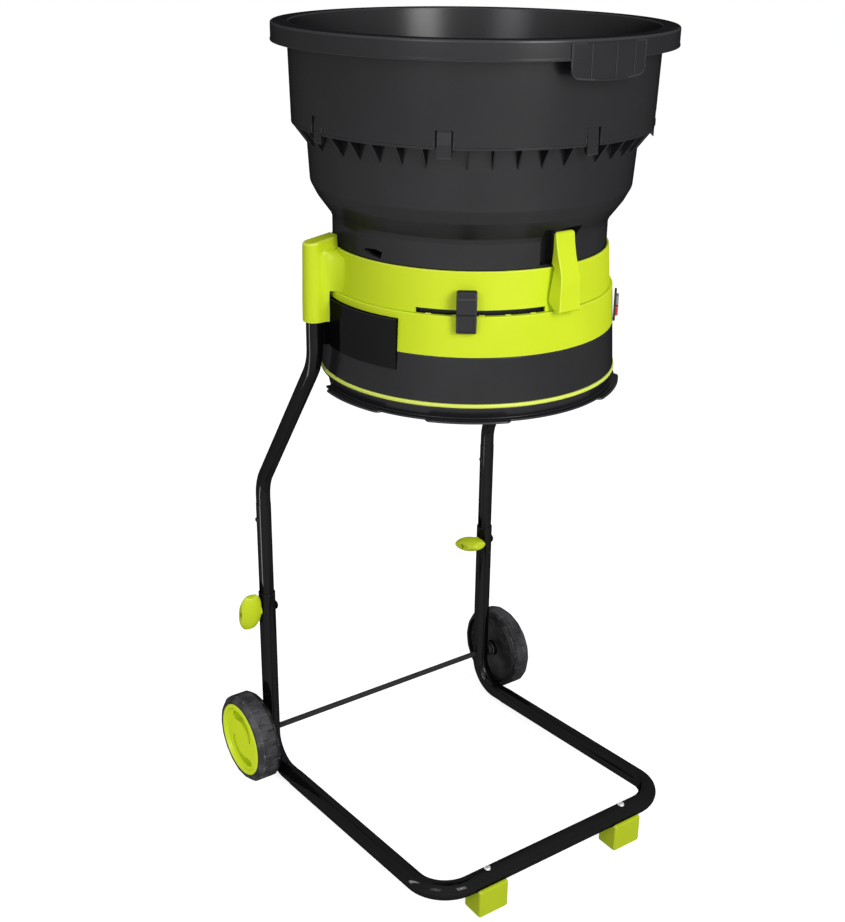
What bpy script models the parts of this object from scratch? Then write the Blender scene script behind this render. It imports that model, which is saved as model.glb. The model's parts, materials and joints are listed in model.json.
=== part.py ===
"""Electric leaf shredder on a wheeled, height-adjustable tubular stand.

Metres, +Z up, with the floor at z = 0. The front of the machine, with the
crossbar and the feet, faces -Y; the wheels are at +Y. Every piece is designed
round the hopper axis, x = y = 0, and the whole machine is then set down with
the middle of its footprint at the origin. Places round the housing are given
by an angle, in degrees, that starts at the front and grows towards -X.
"""
import bpy
import bmesh
import math
from mathutils import Matrix, Vector

# Clearances and walls
GAP = 0.0003
WALL = 0.0026
SEGMENTS = 32
TUBE_SIDES = 10

# Heights of the stacked mouldings, from the discharge mouth up
MOUTH_Z = 0.6290
DISCHARGE_HEIGHT = 0.0140
TRIM_HEIGHT = 0.0045
LOWER_HOUSING_HEIGHT = 0.0526
BAND_HEIGHT = 0.0459
COLLAR_HEIGHT = 0.0485
NECK_HEIGHT = 0.0330
SHOULDER_HEIGHT = 0.0365
FUNNEL_HEIGHT = 0.0690
HOPPER_RING_HEIGHT = 0.1065
LIP_SKIRT = 0.0206
SPIGOT_DEPTH = 0.0260

# The cutting chamber, and how far each moulding stands out from the one before
CHAMBER_R = 0.1640
COLLAR_STEP = 0.0060
COLLAR_TAPER = 0.0037
NECK_STEP = 0.0031
BAND_LEDGE = 0.0035
BAND_TAPER = 0.0030
HOUSING_TAPER = 0.0035
TRIM_STEP = 0.0015
DISCHARGE_STEP = 0.0010
DISCHARGE_TAPER = 0.0037
TAB_REACH = 0.0080
SHOULDER_WIDTH = 0.0253
FUNNEL_FLARE = 0.0040
FLANGE_WIDTH = 0.0162
RING_FLARE = 0.0028
RIM_WIDTH = 0.0185
LEDGE_WIDTH = 0.0080
LINE_CLEARANCE = 0.0140
SADDLE_STEP = 0.0025
LEG_STANDOFF = 0.0100

# Outer radii of the mouldings, the collar first, then down and up from it
COLLAR_BOTTOM_R = CHAMBER_R + COLLAR_STEP
COLLAR_TOP_R = COLLAR_BOTTOM_R - COLLAR_TAPER
BAND_TOP_R = COLLAR_BOTTOM_R + BAND_LEDGE
BAND_BOTTOM_R = BAND_TOP_R + BAND_TAPER
HOUSING_R = BAND_BOTTOM_R + HOUSING_TAPER
TRIM_R = HOUSING_R + TRIM_STEP
DISCHARGE_R = TRIM_R - DISCHARGE_STEP
DISCHARGE_LOW_R = DISCHARGE_R - DISCHARGE_TAPER
TAB_R = DISCHARGE_R + TAB_REACH
NECK_R = COLLAR_TOP_R - NECK_STEP
FUNNEL_LOW_R = NECK_R + SHOULDER_WIDTH
FUNNEL_TOP_R = FUNNEL_LOW_R + FUNNEL_FLARE
HOPPER_RING_LOW_R = FUNNEL_TOP_R + FLANGE_WIDTH
HOPPER_RING_TOP_R = HOPPER_RING_LOW_R + RING_FLARE
RIM_R = HOPPER_RING_TOP_R + RIM_WIDTH
LEDGE_R = CHAMBER_R - LEDGE_WIDTH
LINE_REACH = CHAMBER_R - LINE_CLEARANCE
SADDLE_R = BAND_BOTTOM_R + SADDLE_STEP
LEG_X = SADDLE_R + LEG_STANDOFF

# Discharge lips and trim
TAB_ANGLES = (-84.0, -36.0, 36.0, 84.0, 180.0)
TAB_HALF_ANGLE = 15.5
TAB_THICKNESS = 0.0026
RELIEF_START = 102.5
RELIEF_END = 145.0
RELIEF_BAND = 0.0025
TRIM_WIDTH = 0.0038

# Motor, its carrier and the grate
SPIDER_THICKNESS = 0.0150
SPIDER_HUB_R = 0.0500
SECTOR_COUNT = 4
SECTOR_WIDTH = 42.0
PLATE_THICKNESS = 0.0028
SLEEVE_HEIGHT = 0.0720
SHUTTER_OFFSET = 22.0
MOTOR_R = 0.0460
MOTOR_LENGTH = 0.0860
MOTOR_CAP_LENGTH = 0.0110
SHAFT_R = 0.0060
BEARING_R = 0.0160
BEARING_HEIGHT = 0.0080
HEAD_R = 0.0650
HEAD_THICKNESS = 0.0090
HEAD_CLEARANCE = 0.0260
POST_R = 0.0095
POST_HEIGHT = 0.0060
POST_ORBIT = 0.0480
CLAMP_R = 0.0130
LINE_R = 0.0013
LINE_SPREAD = 24.0
NUT_R = 0.0105
NUT_HEIGHT = 0.0075

# Coarseness slot and its slider
SLOT_START = 14.6
SLOT_END = 57.0
SLOT_HEIGHT = 0.0062
SLIDER_ANGLE = 37.5
SLIDER_WIDTH = 0.0225
SLIDER_HEIGHT = 0.0500
SLIDER_DEPTH = 0.0075
TONGUE_WIDTH = 0.0150
TONGUE_LIFT = 0.0013
DETENT_COUNT = 5
DETENT_HEIGHT = 0.0009

# Hopper details
CLIP_COUNT = 8
CLIP_WIDTH = 0.0172
CLIP_RISE = 0.0170
CLIP_DROP = 0.0095
CLIP_SEAT = 0.0016
CLIP_SLIT = 0.0016
CLIP_HOOK = 0.0045
GUSSETS_PER_BAY = 5
GUSSET_PITCH = 8.0
GUSSET_DROP = 0.0230
GUSSET_THICKNESS = 0.0026
GRIP_HALF_ANGLE = 12.6
GRIP_HEIGHT = 0.0225
GRIP_END_RISE = 0.0080
GRIP_RIB_PITCH = 7.3
RECESS_HALF_ANGLE = 8.8
RECESS_DEPTH = 0.0062
RECESS_HEIGHT = 0.0430
NOTCH_ANGLE = 77.0
NOTCH_WIDTH = 0.0220
NOTCH_HEIGHT = 0.0150

# Latches that hold the hopper on the collar
LATCH_WIDTH = 0.0270
LATCH_HEAD_RISE = 0.0395
LATCH_PIN_RISE = 0.0090
LATCH_PIN_R = 0.0020
LATCH_FOOT_R = 0.0085
LATCH_SKIN = 0.0018
LATCH_TOP_THICKNESS = 0.0100
LATCH_TONGUE_WIDTH = 0.0090

# Legs and base frame
LEG_Y = 0.1910
UPPER_LEG_Y = 0.0476
LOWER_TUBE_R = 0.0115
MID_TUBE_R = 0.0101
UPPER_TUBE_R = 0.0088
TUBE_WALL = 0.0011
LOWER_LEG_TOP = 0.2860
MID_LEG_BOTTOM = 0.1400
MID_LEG_TOP = 0.4200
UPPER_LEG_BOTTOM = 0.3600
UPPER_BEND_LOW_Z = 0.4510
UPPER_BEND_HIGH_Z = 0.6580
UPPER_BEND_RADIUS = 0.0600
BOLT_Z = 0.2620
BOLT_R = 0.0030
KNOB_LENGTH = 0.0320
KNOB_SPAN = 0.0440
KNOB_THICKNESS = 0.0160
KNOB_BOSS_R = 0.0088
ADJUST_UP = 0.0600
ADJUST_DOWN = 0.0400
SNAP_Z = 0.3980
SNAP_R = 0.0034
BASE_FRONT_Y = -0.2183
BASE_FRONT_Z = 0.0446
BASE_REAR_Z = 0.0114
REAR_BEND_RADIUS = 0.0420
FRONT_BEND_RADIUS = 0.0480
BASE_JOINT_Y = 0.1256
BASE_SPIGOT_LENGTH = 0.0180

# Wheels, axle and feet
WHEEL_R = 0.0632
TYRE_DEPTH = 0.0112
HUB_R = WHEEL_R - TYRE_DEPTH
WHEEL_WIDTH = 0.0345
WHEEL_WEB_DEPTH = 0.0070
WHEEL_WEB_THICKNESS = 0.0030
WHEEL_BOSS_R = 0.0120
WHEEL_SEGMENTS = 24
AXLE_R = 0.0040
SPACER_R = 0.0090
SPACER_LENGTH = 0.0052
FOOT_X = 0.1125
FOOT_WIDTH = 0.0450
FOOT_LENGTH = 0.0320
FOOT_HEIGHT = 0.0400
SCREW_R = 0.0022
SCREW_HEAD_R = 0.0045
SCREW_BOTTOM_Z = 0.0100

# Metal saddles and the sleeves of the collar that take the legs
SADDLE_START = 63.3
SADDLE_END = 144.9
SADDLE_DROP = 0.0213
SADDLE_REVEAL = 0.0085
SADDLE_THICKNESS = 0.0030
STANDOFF_WIDTH = 0.0150
SOCKET_LAP = 0.0372
SOCKET_RISE = 0.0163
SOCKET_SLOPE = 0.0090
SOCKET_WALL = 0.0042

# Switch panel and inlet
SWITCH_ANGLE = -46.0
SWITCH_WIDTH = 0.0260
SWITCH_HEIGHT = 0.0340
SWITCH_DEPTH = 0.0028
BUTTON_WIDTH = 0.0150
BUTTON_HEIGHT = 0.0110
BUTTON_DEPTH = 0.0055
INLET_ANGLE = -160.0
INLET_WIDTH = 0.0380
INLET_HEIGHT = 0.0280
INLET_DEPTH = 0.0180
INLET_WALL = 0.0035
INLET_FLOOR = 0.0030
BLADE_LENGTH = 0.0130
BLADE_SPACING = 0.0128
BLADE_THICKNESS = 0.0016
BLADE_WIDTH = 0.0064

# Heights worked out from the stack
TRIM_Z = MOUTH_Z + DISCHARGE_HEIGHT + GAP
HOUSING_Z = TRIM_Z + TRIM_HEIGHT + GAP
BAND_Z = HOUSING_Z + LOWER_HOUSING_HEIGHT + GAP
COLLAR_Z = BAND_Z + BAND_HEIGHT + GAP
COLLAR_TOP_Z = COLLAR_Z + COLLAR_HEIGHT
NECK_Z = COLLAR_TOP_Z + GAP
SHOULDER_Z = NECK_Z + NECK_HEIGHT
FUNNEL_Z = SHOULDER_Z + SHOULDER_HEIGHT
FLANGE_Z = FUNNEL_Z + FUNNEL_HEIGHT
RIM_Z = FLANGE_Z + GAP + HOPPER_RING_HEIGHT
SPIGOT_WALL_TOP = BAND_Z + BAND_HEIGHT - WALL - GAP
LEDGE_Z = MOUTH_Z + DISCHARGE_HEIGHT + 0.0285
SPIDER_Z = LEDGE_Z + GAP
SPIDER_TOP_Z = SPIDER_Z + SPIDER_THICKNESS
SHUTTER_Z = SPIDER_TOP_Z + GAP
HEAD_Z = SPIDER_TOP_Z + HEAD_CLEARANCE
POST_TOP_Z = HEAD_Z + HEAD_THICKNESS + POST_HEIGHT
SADDLE_BOTTOM_Z = BAND_Z - SADDLE_DROP
SADDLE_TOP_Z = COLLAR_Z - SADDLE_REVEAL
SOCKET_BOTTOM_Z = COLLAR_Z - SOCKET_LAP
SOCKET_TOP_Z = COLLAR_TOP_Z + SOCKET_RISE
LATCH_PIN_Z = COLLAR_Z + LATCH_PIN_RISE
LATCH_TOP_Z = NECK_Z + LATCH_HEAD_RISE
LATCH_PIN_Y = -(COLLAR_BOTTOM_R + 0.0120)
MID_BAND_Z = BAND_Z + 0.45 * BAND_HEIGHT
WHEEL_INNER_X = LEG_X + LOWER_TUBE_R + 2 * GAP + SPACER_LENGTH
FOOTPRINT_Y = (LEG_Y + WHEEL_R + BASE_FRONT_Y - FOOT_LENGTH / 2) / 2


def clear_scene():
    for old in list(bpy.data.objects):
        bpy.data.objects.remove(old, do_unlink=True)


def material(name, colour, roughness, metallic=0.0):
    mat = bpy.data.materials.new(name)
    mat.use_nodes = True
    shader = mat.node_tree.nodes["Principled BSDF"]
    shader.inputs["Base Color"].default_value = (*colour, 1.0)
    shader.inputs["Roughness"].default_value = roughness
    shader.inputs["Metallic"].default_value = metallic
    return mat


def finish_mesh(name, bm, mat):
    """Turns a bmesh into a smooth-shaded object with its faces outwards."""
    bmesh.ops.remove_doubles(bm, verts=bm.verts, dist=1e-6)
    bmesh.ops.recalc_face_normals(bm, faces=bm.faces)
    mesh = bpy.data.meshes.new(name)
    bm.to_mesh(mesh)
    bm.free()
    mesh.shade_smooth()
    mesh.set_sharp_from_angle(angle=math.radians(35))
    if mat is not None:
        mesh.materials.append(mat)
    obj = bpy.data.objects.new(name, mesh)
    bpy.context.scene.collection.objects.link(obj)
    return obj


def tool(name, bm):
    """A hidden shape that a Boolean modifier adds or takes away."""
    obj = finish_mesh(name, bm, None)
    obj.hide_render = True
    obj.display_type = 'WIRE'
    return obj


def boolean(obj, other, operation):
    mod = obj.modifiers.new(operation.lower(), 'BOOLEAN')
    mod.operation = operation
    mod.solver = 'EXACT'
    mod.object = other


def cut(obj, other):
    boolean(obj, other, 'DIFFERENCE')


def join(obj, other):
    boolean(obj, other, 'UNION')


def bevel(obj, width, segments=1):
    mod = obj.modifiers.new("edge", 'BEVEL')
    mod.width = width
    mod.segments = segments
    mod.limit_method = 'ANGLE'
    mod.angle_limit = math.radians(40)


def set_pivot(obj, point):
    """Moves the object's origin to a joint axis and leaves its shape in place."""
    obj.data.transform(Matrix.Translation(-Vector(point)))
    obj.location = point


def facet_radius(radius, angle):
    """Distance to a flat of the moulding's faceted round at this angle."""
    step = 360.0 / SEGMENTS
    off_middle = math.radians((angle % step) - step / 2)
    return radius * math.cos(math.radians(step / 2)) / math.cos(off_middle)


def around(radius, angle, z):
    """Point on a moulding's faceted round."""
    r = facet_radius(radius, angle)
    a = math.radians(angle)
    return Vector((-r * math.sin(a), -r * math.cos(a), z))


def outward(angle):
    a = math.radians(angle)
    return Vector((-math.sin(a), -math.cos(a), 0.0))


def bridge_sections(bm, sections, closed):
    """Skins equal point loops one after another, and caps an open run."""
    loops = [[bm.verts.new(p) for p in section] for section in sections]
    count = len(loops[0])
    pairs = list(zip(loops, loops[1:]))
    if closed:
        pairs.append((loops[-1], loops[0]))
    for one, two in pairs:
        for i in range(count):
            j = (i + 1) % count
            bm.faces.new((one[i], one[j], two[j], two[i]))
    if not closed:
        bm.faces.new(loops[0])
        bm.faces.new(loops[-1])


def ring_solid(bm, profile):
    """A closed (radius, height) outline turned all the way round the axis."""
    angles = [i * 360.0 / SEGMENTS for i in range(SEGMENTS)]
    sections = [[around(r, a, z) for r, z in profile] for a in angles]
    bridge_sections(bm, sections, True)


def arc_solid(bm, profile, start, end):
    """The same outline turned from one angle to another, on the same facets."""
    step = 360.0 / SEGMENTS
    inner = [i * step for i in range(math.floor(start / step) + 1, math.ceil(end / step))]
    angles = [start] + [a for a in inner if start + 0.01 < a < end - 0.01] + [end]
    sections = [[around(r, a, z) for r, z in profile] for a in angles]
    bridge_sections(bm, sections, False)


def arc_cutter(bm, inner, outer, low, high, start, end):
    """A ring sector whose curved sides lie in free space, to cut a wall."""
    steps = max(2, round((end - start) / 11.3))
    sections = []
    for i in range(steps + 1):
        out = outward(start + (end - start) * i / steps)
        sections.append([out * r + Vector((0, 0, z)) for r, z in (
            (inner, low), (outer, low), (outer, high), (inner, high))])
    bridge_sections(bm, sections, False)


def turned(bm, profile, segments, matrix=None):
    """A solid of revolution about Z from (radius, height) points."""
    matrix = matrix or Matrix()
    verts = [bm.verts.new((r, 0.0, z)) for r, z in profile]
    edges = [bm.edges.new(pair) for pair in zip(verts, verts[1:])]
    if profile[0][0] > 0.0 and profile[-1][0] > 0.0:
        edges.append(bm.edges.new((verts[-1], verts[0])))
    bmesh.ops.spin(bm, geom=verts + edges, axis=(0, 0, 1), cent=(0, 0, 0),
                   steps=segments, angle=2 * math.pi, use_merge=True)
    bmesh.ops.remove_doubles(bm, verts=bm.verts, dist=1e-6)
    bmesh.ops.transform(bm, matrix=matrix, verts=bm.verts)


def cylinder(bm, radius, start, end, segments=16):
    """A rod from one point to another."""
    start = Vector(start)
    end = Vector(end)
    axis = end - start
    turn = Vector((0, 0, 1)).rotation_difference(axis).to_matrix().to_4x4()
    place = Matrix.Translation((start + end) / 2) @ turn
    bmesh.ops.create_cone(bm, cap_ends=True, segments=segments, radius1=radius,
                          radius2=radius, depth=axis.length, matrix=place)


def box(bm, low, high, matrix=None):
    size = [b - a for a, b in zip(low, high)]
    middle = [(a + b) / 2 for a, b in zip(low, high)]
    place = Matrix.Translation(middle) @ Matrix.Diagonal((*size, 1.0))
    bmesh.ops.create_cube(bm, size=1.0, matrix=(matrix or Matrix()) @ place)


def prism(bm, outline, axis_low, axis_high, to_point):
    """Extrudes an outline between two values of the third coordinate."""
    low = [to_point(u, v, axis_low) for u, v in outline]
    high = [to_point(u, v, axis_high) for u, v in outline]
    bridge_sections(bm, [low, high], False)


def facing(angle):
    """Frame whose X runs along the round, Y out of it, at this angle."""
    return Matrix.Rotation(-math.radians(angle) + math.pi, 4, 'Z')


def bend_path(corners, radius, steps=5):
    """A route with its corners rounded to the tube's bend radius."""
    points = [Vector(corners[0])]
    for before, corner, after in zip(corners, corners[1:], corners[2:]):
        corner = Vector(corner)
        into = (corner - Vector(before)).normalized()
        out = (Vector(after) - corner).normalized()
        turn = into.angle(out)
        tangent = radius * math.tan(turn / 2)
        centre_line = (out - into).normalized()
        centre = corner + centre_line * radius / math.cos(turn / 2)
        arm = corner - into * tangent - centre
        axis = into.cross(out).normalized()
        for i in range(steps + 1):
            spin = Matrix.Rotation(turn * i / steps, 3, axis)
            points.append(centre + spin @ arm)
    points.append(Vector(corners[-1]))
    return points


def sweep(points, radii, normal, sides, first=0.0):
    """Sections along a flat route; the radius may change from point to point."""
    normal = Vector(normal).normalized()
    sections = []
    for i, point in enumerate(points):
        before = points[max(i - 1, 0)]
        after = points[min(i + 1, len(points) - 1)]
        if (point - before).length < 1e-7:
            before = points[max(i - 2, 0)]
        if (after - point).length < 1e-7:
            after = points[min(i + 2, len(points) - 1)]
        along = Vector((0, 0, 0))
        if (point - before).length > 1e-7:
            along += (point - before).normalized()
        if (after - point).length > 1e-7:
            along += (after - point).normalized()
        across = along.cross(normal).normalized()
        mitre = 1.0
        if (point - before).length > 1e-7:
            mitre = 1.0 / max((point - before).normalized().dot(along.normalized()), 0.5)
        ring = []
        for k in range(sides):
            a = math.radians(first) + 2 * math.pi * k / sides
            ring.append(point + radii[i] * (math.cos(a) * normal + mitre * math.sin(a) * across))
        sections.append(ring)
    return sections


def pipe(name, points, radii, bore, normal, mat, first=0.0):
    """An open-ended tube: outer skin, bore and two ring-shaped ends."""
    bm = bmesh.new()
    outer = sweep(points, radii, normal, TUBE_SIDES, first)
    inner = sweep(points, bore, normal, TUBE_SIDES, first)
    bridge_sections(bm, outer + inner[::-1], True)
    return finish_mesh(name, bm, mat)


def rod(name, points, radius, normal, mat, sides):
    bm = bmesh.new()
    sections = sweep(points, [radius] * len(points), normal, sides)
    bridge_sections(bm, sections, False)
    return finish_mesh(name, bm, mat)


def make_materials():
    return {
        "lime": material("lime_plastic", (0.62, 0.80, 0.045), 0.38),
        "black": material("black_plastic", (0.035, 0.036, 0.040), 0.45),
        "tube": material("black_painted_steel", (0.012, 0.012, 0.013), 0.25, 0.2),
        "rubber": material("tyre_rubber", (0.045, 0.045, 0.050), 0.75),
        "steel": material("zinc_steel", (0.62, 0.62, 0.60), 0.35, 1.0),
        "motor": material("motor_steel", (0.30, 0.30, 0.31), 0.40, 1.0),
        "line": material("cutting_line", (0.78, 0.90, 0.12), 0.40),
        "grey": material("grey_plastic", (0.30, 0.30, 0.31), 0.45),
        "red": material("red_plastic", (0.70, 0.03, 0.03), 0.40),
        "brass": material("brass", (0.75, 0.58, 0.28), 0.30, 1.0),
    }


# Hopper

def upper_hopper(mats):
    """Deep ring with a folded rim; eight clips hook it under the funnel's flange."""
    low = FLANGE_Z + GAP
    corner = 0.0035
    profile = [
        (RIM_R - corner, RIM_Z),
        (RIM_R, RIM_Z - corner),
        (RIM_R, RIM_Z - LIP_SKIRT),
        (RIM_R - WALL, RIM_Z - LIP_SKIRT),
        (RIM_R - WALL, RIM_Z - WALL),
        (HOPPER_RING_TOP_R, RIM_Z - WALL),
        (HOPPER_RING_LOW_R, low),
        (HOPPER_RING_LOW_R - WALL, low),
        (HOPPER_RING_TOP_R - WALL, RIM_Z - corner),
        (HOPPER_RING_TOP_R - WALL + corner, RIM_Z),
    ]
    bm = bmesh.new()
    ring_solid(bm, profile)
    obj = finish_mesh("upper_hopper", bm, mats["black"])
    join(obj, tool("hopper_clips", clip_shapes(low)))
    cut(obj, tool("clip_slits", clip_slits(low)))
    join(obj, tool("grip_ribs", grip_ribs()))
    join(obj, tool("grip_aprons", grip_aprons()))
    return obj


def clip_shapes(low):
    """Hooks: a tongue of the wall that passes the flange's notch, and a barb under it."""
    face = HOPPER_RING_LOW_R - CLIP_SEAT + GAP
    out = face + WALL
    under = FLANGE_Z - WALL - 2 * GAP
    barb = HOPPER_RING_LOW_R - CLIP_HOOK
    half = CLIP_WIDTH / 2 + GAP
    outline = [
        (face, low + CLIP_RISE),
        (HOPPER_RING_LOW_R + 0.0006, low + CLIP_RISE),
        (out, low + CLIP_RISE * 0.7),
        (out, under - CLIP_DROP),
        (barb, under - CLIP_DROP * 0.5),
        (barb, under),
        (face, under),
    ]
    bm = bmesh.new()
    for i in range(CLIP_COUNT):
        turn = Matrix.Rotation(2 * math.pi * i / CLIP_COUNT, 3, 'Z')
        def place(r, z, x, turn=turn):
            return turn @ Vector((x, -r, z))
        prism(bm, outline, -half, half, place)
    return bm


def clip_slits(low):
    """Two slits beside each hook, which let it bend out over the flange."""
    bm = bmesh.new()
    for i in range(CLIP_COUNT):
        place = facing(360.0 * i / CLIP_COUNT)
        for side in (-1, 1):
            ends = sorted((side * CLIP_WIDTH / 2, side * (CLIP_WIDTH / 2 + CLIP_SLIT)))
            box(bm, (ends[0], HOPPER_RING_LOW_R - 0.01, low - 2 * CLIP_DROP),
                (ends[1], HOPPER_RING_LOW_R + 0.01, low + CLIP_RISE), place)
    return bm


def grip_aprons():
    """Two hand grips: the rim's skirt runs deeper there, with a rounded foot."""
    bm = bmesh.new()
    top = RIM_Z - LIP_SKIRT + 0.0010
    steps = 6
    for centre in (0.0, 180.0):
        sections = []
        for i in range(steps + 1):
            share = 2.0 * i / steps - 1.0
            angle = centre + share * GRIP_HALF_ANGLE
            low = RIM_Z - LIP_SKIRT - GRIP_HEIGHT + GRIP_END_RISE * share ** 4
            sections.append([around(r, angle, z) for r, z in (
                (RIM_R - 0.0003, top), (RIM_R - 0.0003, low), (RIM_R - WALL + 0.0003, low),
                (RIM_R - WALL + 0.0003, top))])
        bridge_sections(bm, sections, False)
    return bm


def grip_ribs():
    """Ribs that tie each grip back to the hopper's wall."""
    bm = bmesh.new()
    floor = RIM_Z - LIP_SKIRT - GRIP_HEIGHT + GRIP_END_RISE + 0.0012
    for centre in (0.0, 180.0):
        for k in (-1, 0, 1):
            box(bm, (-0.0011, HOPPER_RING_TOP_R - 0.0020, floor),
                (0.0011, RIM_R - 0.0018, RIM_Z - 0.0015), facing(centre + k * GRIP_RIB_PITCH))
    return bm


def lower_hopper(mats):
    """Stepped funnel: flange, bowl, rounded shoulder, neck and spigot."""
    spigot_r = COLLAR_TOP_R - WALL - 8 * GAP
    throat_r = spigot_r - WALL
    profile = [
        (HOPPER_RING_LOW_R, FLANGE_Z),
        (HOPPER_RING_LOW_R, FLANGE_Z - WALL),
        (FUNNEL_TOP_R, FLANGE_Z - WALL),
        (FUNNEL_LOW_R, FUNNEL_Z),
        (FUNNEL_LOW_R - 0.0078, FUNNEL_Z - 0.0150),
        (NECK_R + 0.0028, SHOULDER_Z + 0.0015),
        (NECK_R, SHOULDER_Z - 0.0050),
        (NECK_R, NECK_Z),
        (spigot_r, NECK_Z),
        (spigot_r, COLLAR_TOP_Z - SPIGOT_DEPTH),
        (throat_r, COLLAR_TOP_Z - SPIGOT_DEPTH),
        (throat_r, SHOULDER_Z),
        (FUNNEL_LOW_R - 0.0108, FUNNEL_Z - 0.0145),
        (FUNNEL_LOW_R - WALL, FUNNEL_Z),
        (FUNNEL_TOP_R - WALL, FLANGE_Z),
    ]
    bm = bmesh.new()
    ring_solid(bm, profile)
    obj = finish_mesh("lower_hopper", bm, mats["black"])
    join(obj, tool("flange_gussets", gusset_shapes()))
    cut(obj, tool("clip_seats", clip_seats()))
    join(obj, tool("recess_walls", recess_walls()))
    cut(obj, tool("recess_hollows", recess_hollows()))
    cut(obj, tool("neck_notches", neck_notches()))
    return obj


def clip_seats():
    """Notches in the flange's edge that the hooks pass through."""
    half = CLIP_WIDTH / 2 + GAP
    bm = bmesh.new()
    for i in range(CLIP_COUNT):
        box(bm, (-half, HOPPER_RING_LOW_R - CLIP_SEAT, FLANGE_Z - WALL - 0.0010),
            (half, HOPPER_RING_LOW_R + 0.0050, FLANGE_Z + 0.0010), facing(360.0 * i / CLIP_COUNT))
    return bm


def gusset_shapes():
    """Small triangles under the flange, five between each pair of clips."""
    top = FLANGE_Z - WALL + 0.0003
    slope = (FUNNEL_TOP_R - FUNNEL_LOW_R) / FUNNEL_HEIGHT
    root = FUNNEL_TOP_R - slope * GUSSET_DROP - 0.0012
    outline = [
        (root, top),
        (HOPPER_RING_LOW_R - 0.0008, top),
        (root, top - GUSSET_DROP),
    ]
    bm = bmesh.new()
    bay = 360.0 / CLIP_COUNT
    for i in range(CLIP_COUNT):
        for k in range(GUSSETS_PER_BAY):
            angle = bay * (i + 0.5) + (k - (GUSSETS_PER_BAY - 1) / 2) * GUSSET_PITCH
            turn = Matrix.Rotation(-math.radians(angle), 3, 'Z')
            def place(r, z, x, turn=turn):
                return turn @ Vector((x, -r, z))
            prism(bm, outline, -GUSSET_THICKNESS / 2, GUSSET_THICKNESS / 2, place)
    return bm


def recess_walls():
    """Inward bulges of the neck, front and rear, behind the latch levers."""
    back = NECK_R - RECESS_DEPTH - WALL
    middle = NECK_R - WALL
    roof = NECK_Z + RECESS_HEIGHT + WALL
    flare = (FUNNEL_LOW_R - NECK_R - 0.0106) / (SHOULDER_HEIGHT - 0.0165)
    profile = [(back, NECK_Z + GAP), (middle, NECK_Z + GAP), (middle, SHOULDER_Z),
               (middle + 0.0010 + flare * (roof - SHOULDER_Z), roof), (back, roof)]
    extra = math.degrees(WALL / NECK_R)
    bm = bmesh.new()
    for centre in (0.0, 180.0):
        arc_solid(bm, profile, centre - RECESS_HALF_ANGLE - extra, centre + RECESS_HALF_ANGLE + extra)
    return bm


def recess_hollows():
    bm = bmesh.new()
    for centre in (0.0, 180.0):
        arc_cutter(bm, NECK_R - RECESS_DEPTH, NECK_R + 0.03, NECK_Z + WALL, NECK_Z + RECESS_HEIGHT,
                   centre - RECESS_HALF_ANGLE, centre + RECESS_HALF_ANGLE)
    return bm


def neck_notches():
    """Shallow keyhole beside each leg, where the guard interlock's key goes in."""
    bm = bmesh.new()
    for centre in (NOTCH_ANGLE, NOTCH_ANGLE + 180.0):
        box(bm, (-NOTCH_WIDTH / 2, NECK_R - 0.0018, NECK_Z + 0.0020),
            (NOTCH_WIDTH / 2, NECK_R + 0.0200, NECK_Z + 0.0020 + NOTCH_HEIGHT), facing(centre))
    return bm


# Green collar, band and lower housing

def socket_outline():
    """Rounded boss that covers the top of a leg, seen from above."""
    r = UPPER_TUBE_R + GAP + SOCKET_WALL
    root = COLLAR_TOP_R - 0.0073
    points = [(-root, UPPER_LEG_Y + 0.0150), (-root, UPPER_LEG_Y - 0.0060)]
    for i in range(9):
        a = math.radians(-100 + 200 * i / 8)
        points.append((-LEG_X - r * math.cos(a), UPPER_LEG_Y + r * math.sin(a)))
    return points


def collar(mats):
    """Upper green ring with a sleeve on each side for the leg tubes."""
    bm = bmesh.new()
    ring_solid(bm, [
        (COLLAR_TOP_R - 0.0012, COLLAR_TOP_Z),
        (COLLAR_TOP_R, COLLAR_TOP_Z - 0.0012),
        (COLLAR_BOTTOM_R, COLLAR_Z),
        (COLLAR_BOTTOM_R - WALL, COLLAR_Z),
        (COLLAR_TOP_R - WALL, COLLAR_TOP_Z),
    ])
    obj = finish_mesh("cutter_collar", bm, mats["lime"])
    for side in (-1, 1):
        boss = tool(side_name("socket_boss", side), socket_boss(side))
        cut(boss, tool(side_name("boss_inside", side), boss_inside()))
        join(obj, boss)
        cut(obj, tool(side_name("socket_bore", side), socket_bore(side)))
        cut(obj, tool(side_name("standoff_channel", side), standoff_channel(side)))
    slot = bmesh.new()
    arc_cutter(slot, COLLAR_TOP_R - 0.01, COLLAR_BOTTOM_R + 0.01, COLLAR_Z - 0.001,
               COLLAR_Z + SLOT_HEIGHT, SLOT_START, SLOT_END)
    cut(obj, tool("coarseness_slot", slot))
    join(obj, tool("latch_tongues", latch_tongues()))
    cut(obj, tool("latch_pin_holes", latch_pin_holes()))
    return obj


def socket_boss(side):
    bm = bmesh.new()
    outline = socket_outline()
    outer_x = max(abs(x) for x, _ in outline)
    inner_x = min(abs(x) for x, _ in outline)
    low = [Vector((-side * x, y, SOCKET_BOTTOM_Z)) for x, y in outline]
    high = []
    for x, y in outline:
        share = (abs(x) - inner_x) / (outer_x - inner_x)
        high.append(Vector((-side * x, y, SOCKET_TOP_Z - SOCKET_SLOPE * share)))
    bridge_sections(bm, [low, high], False)
    return bm


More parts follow.
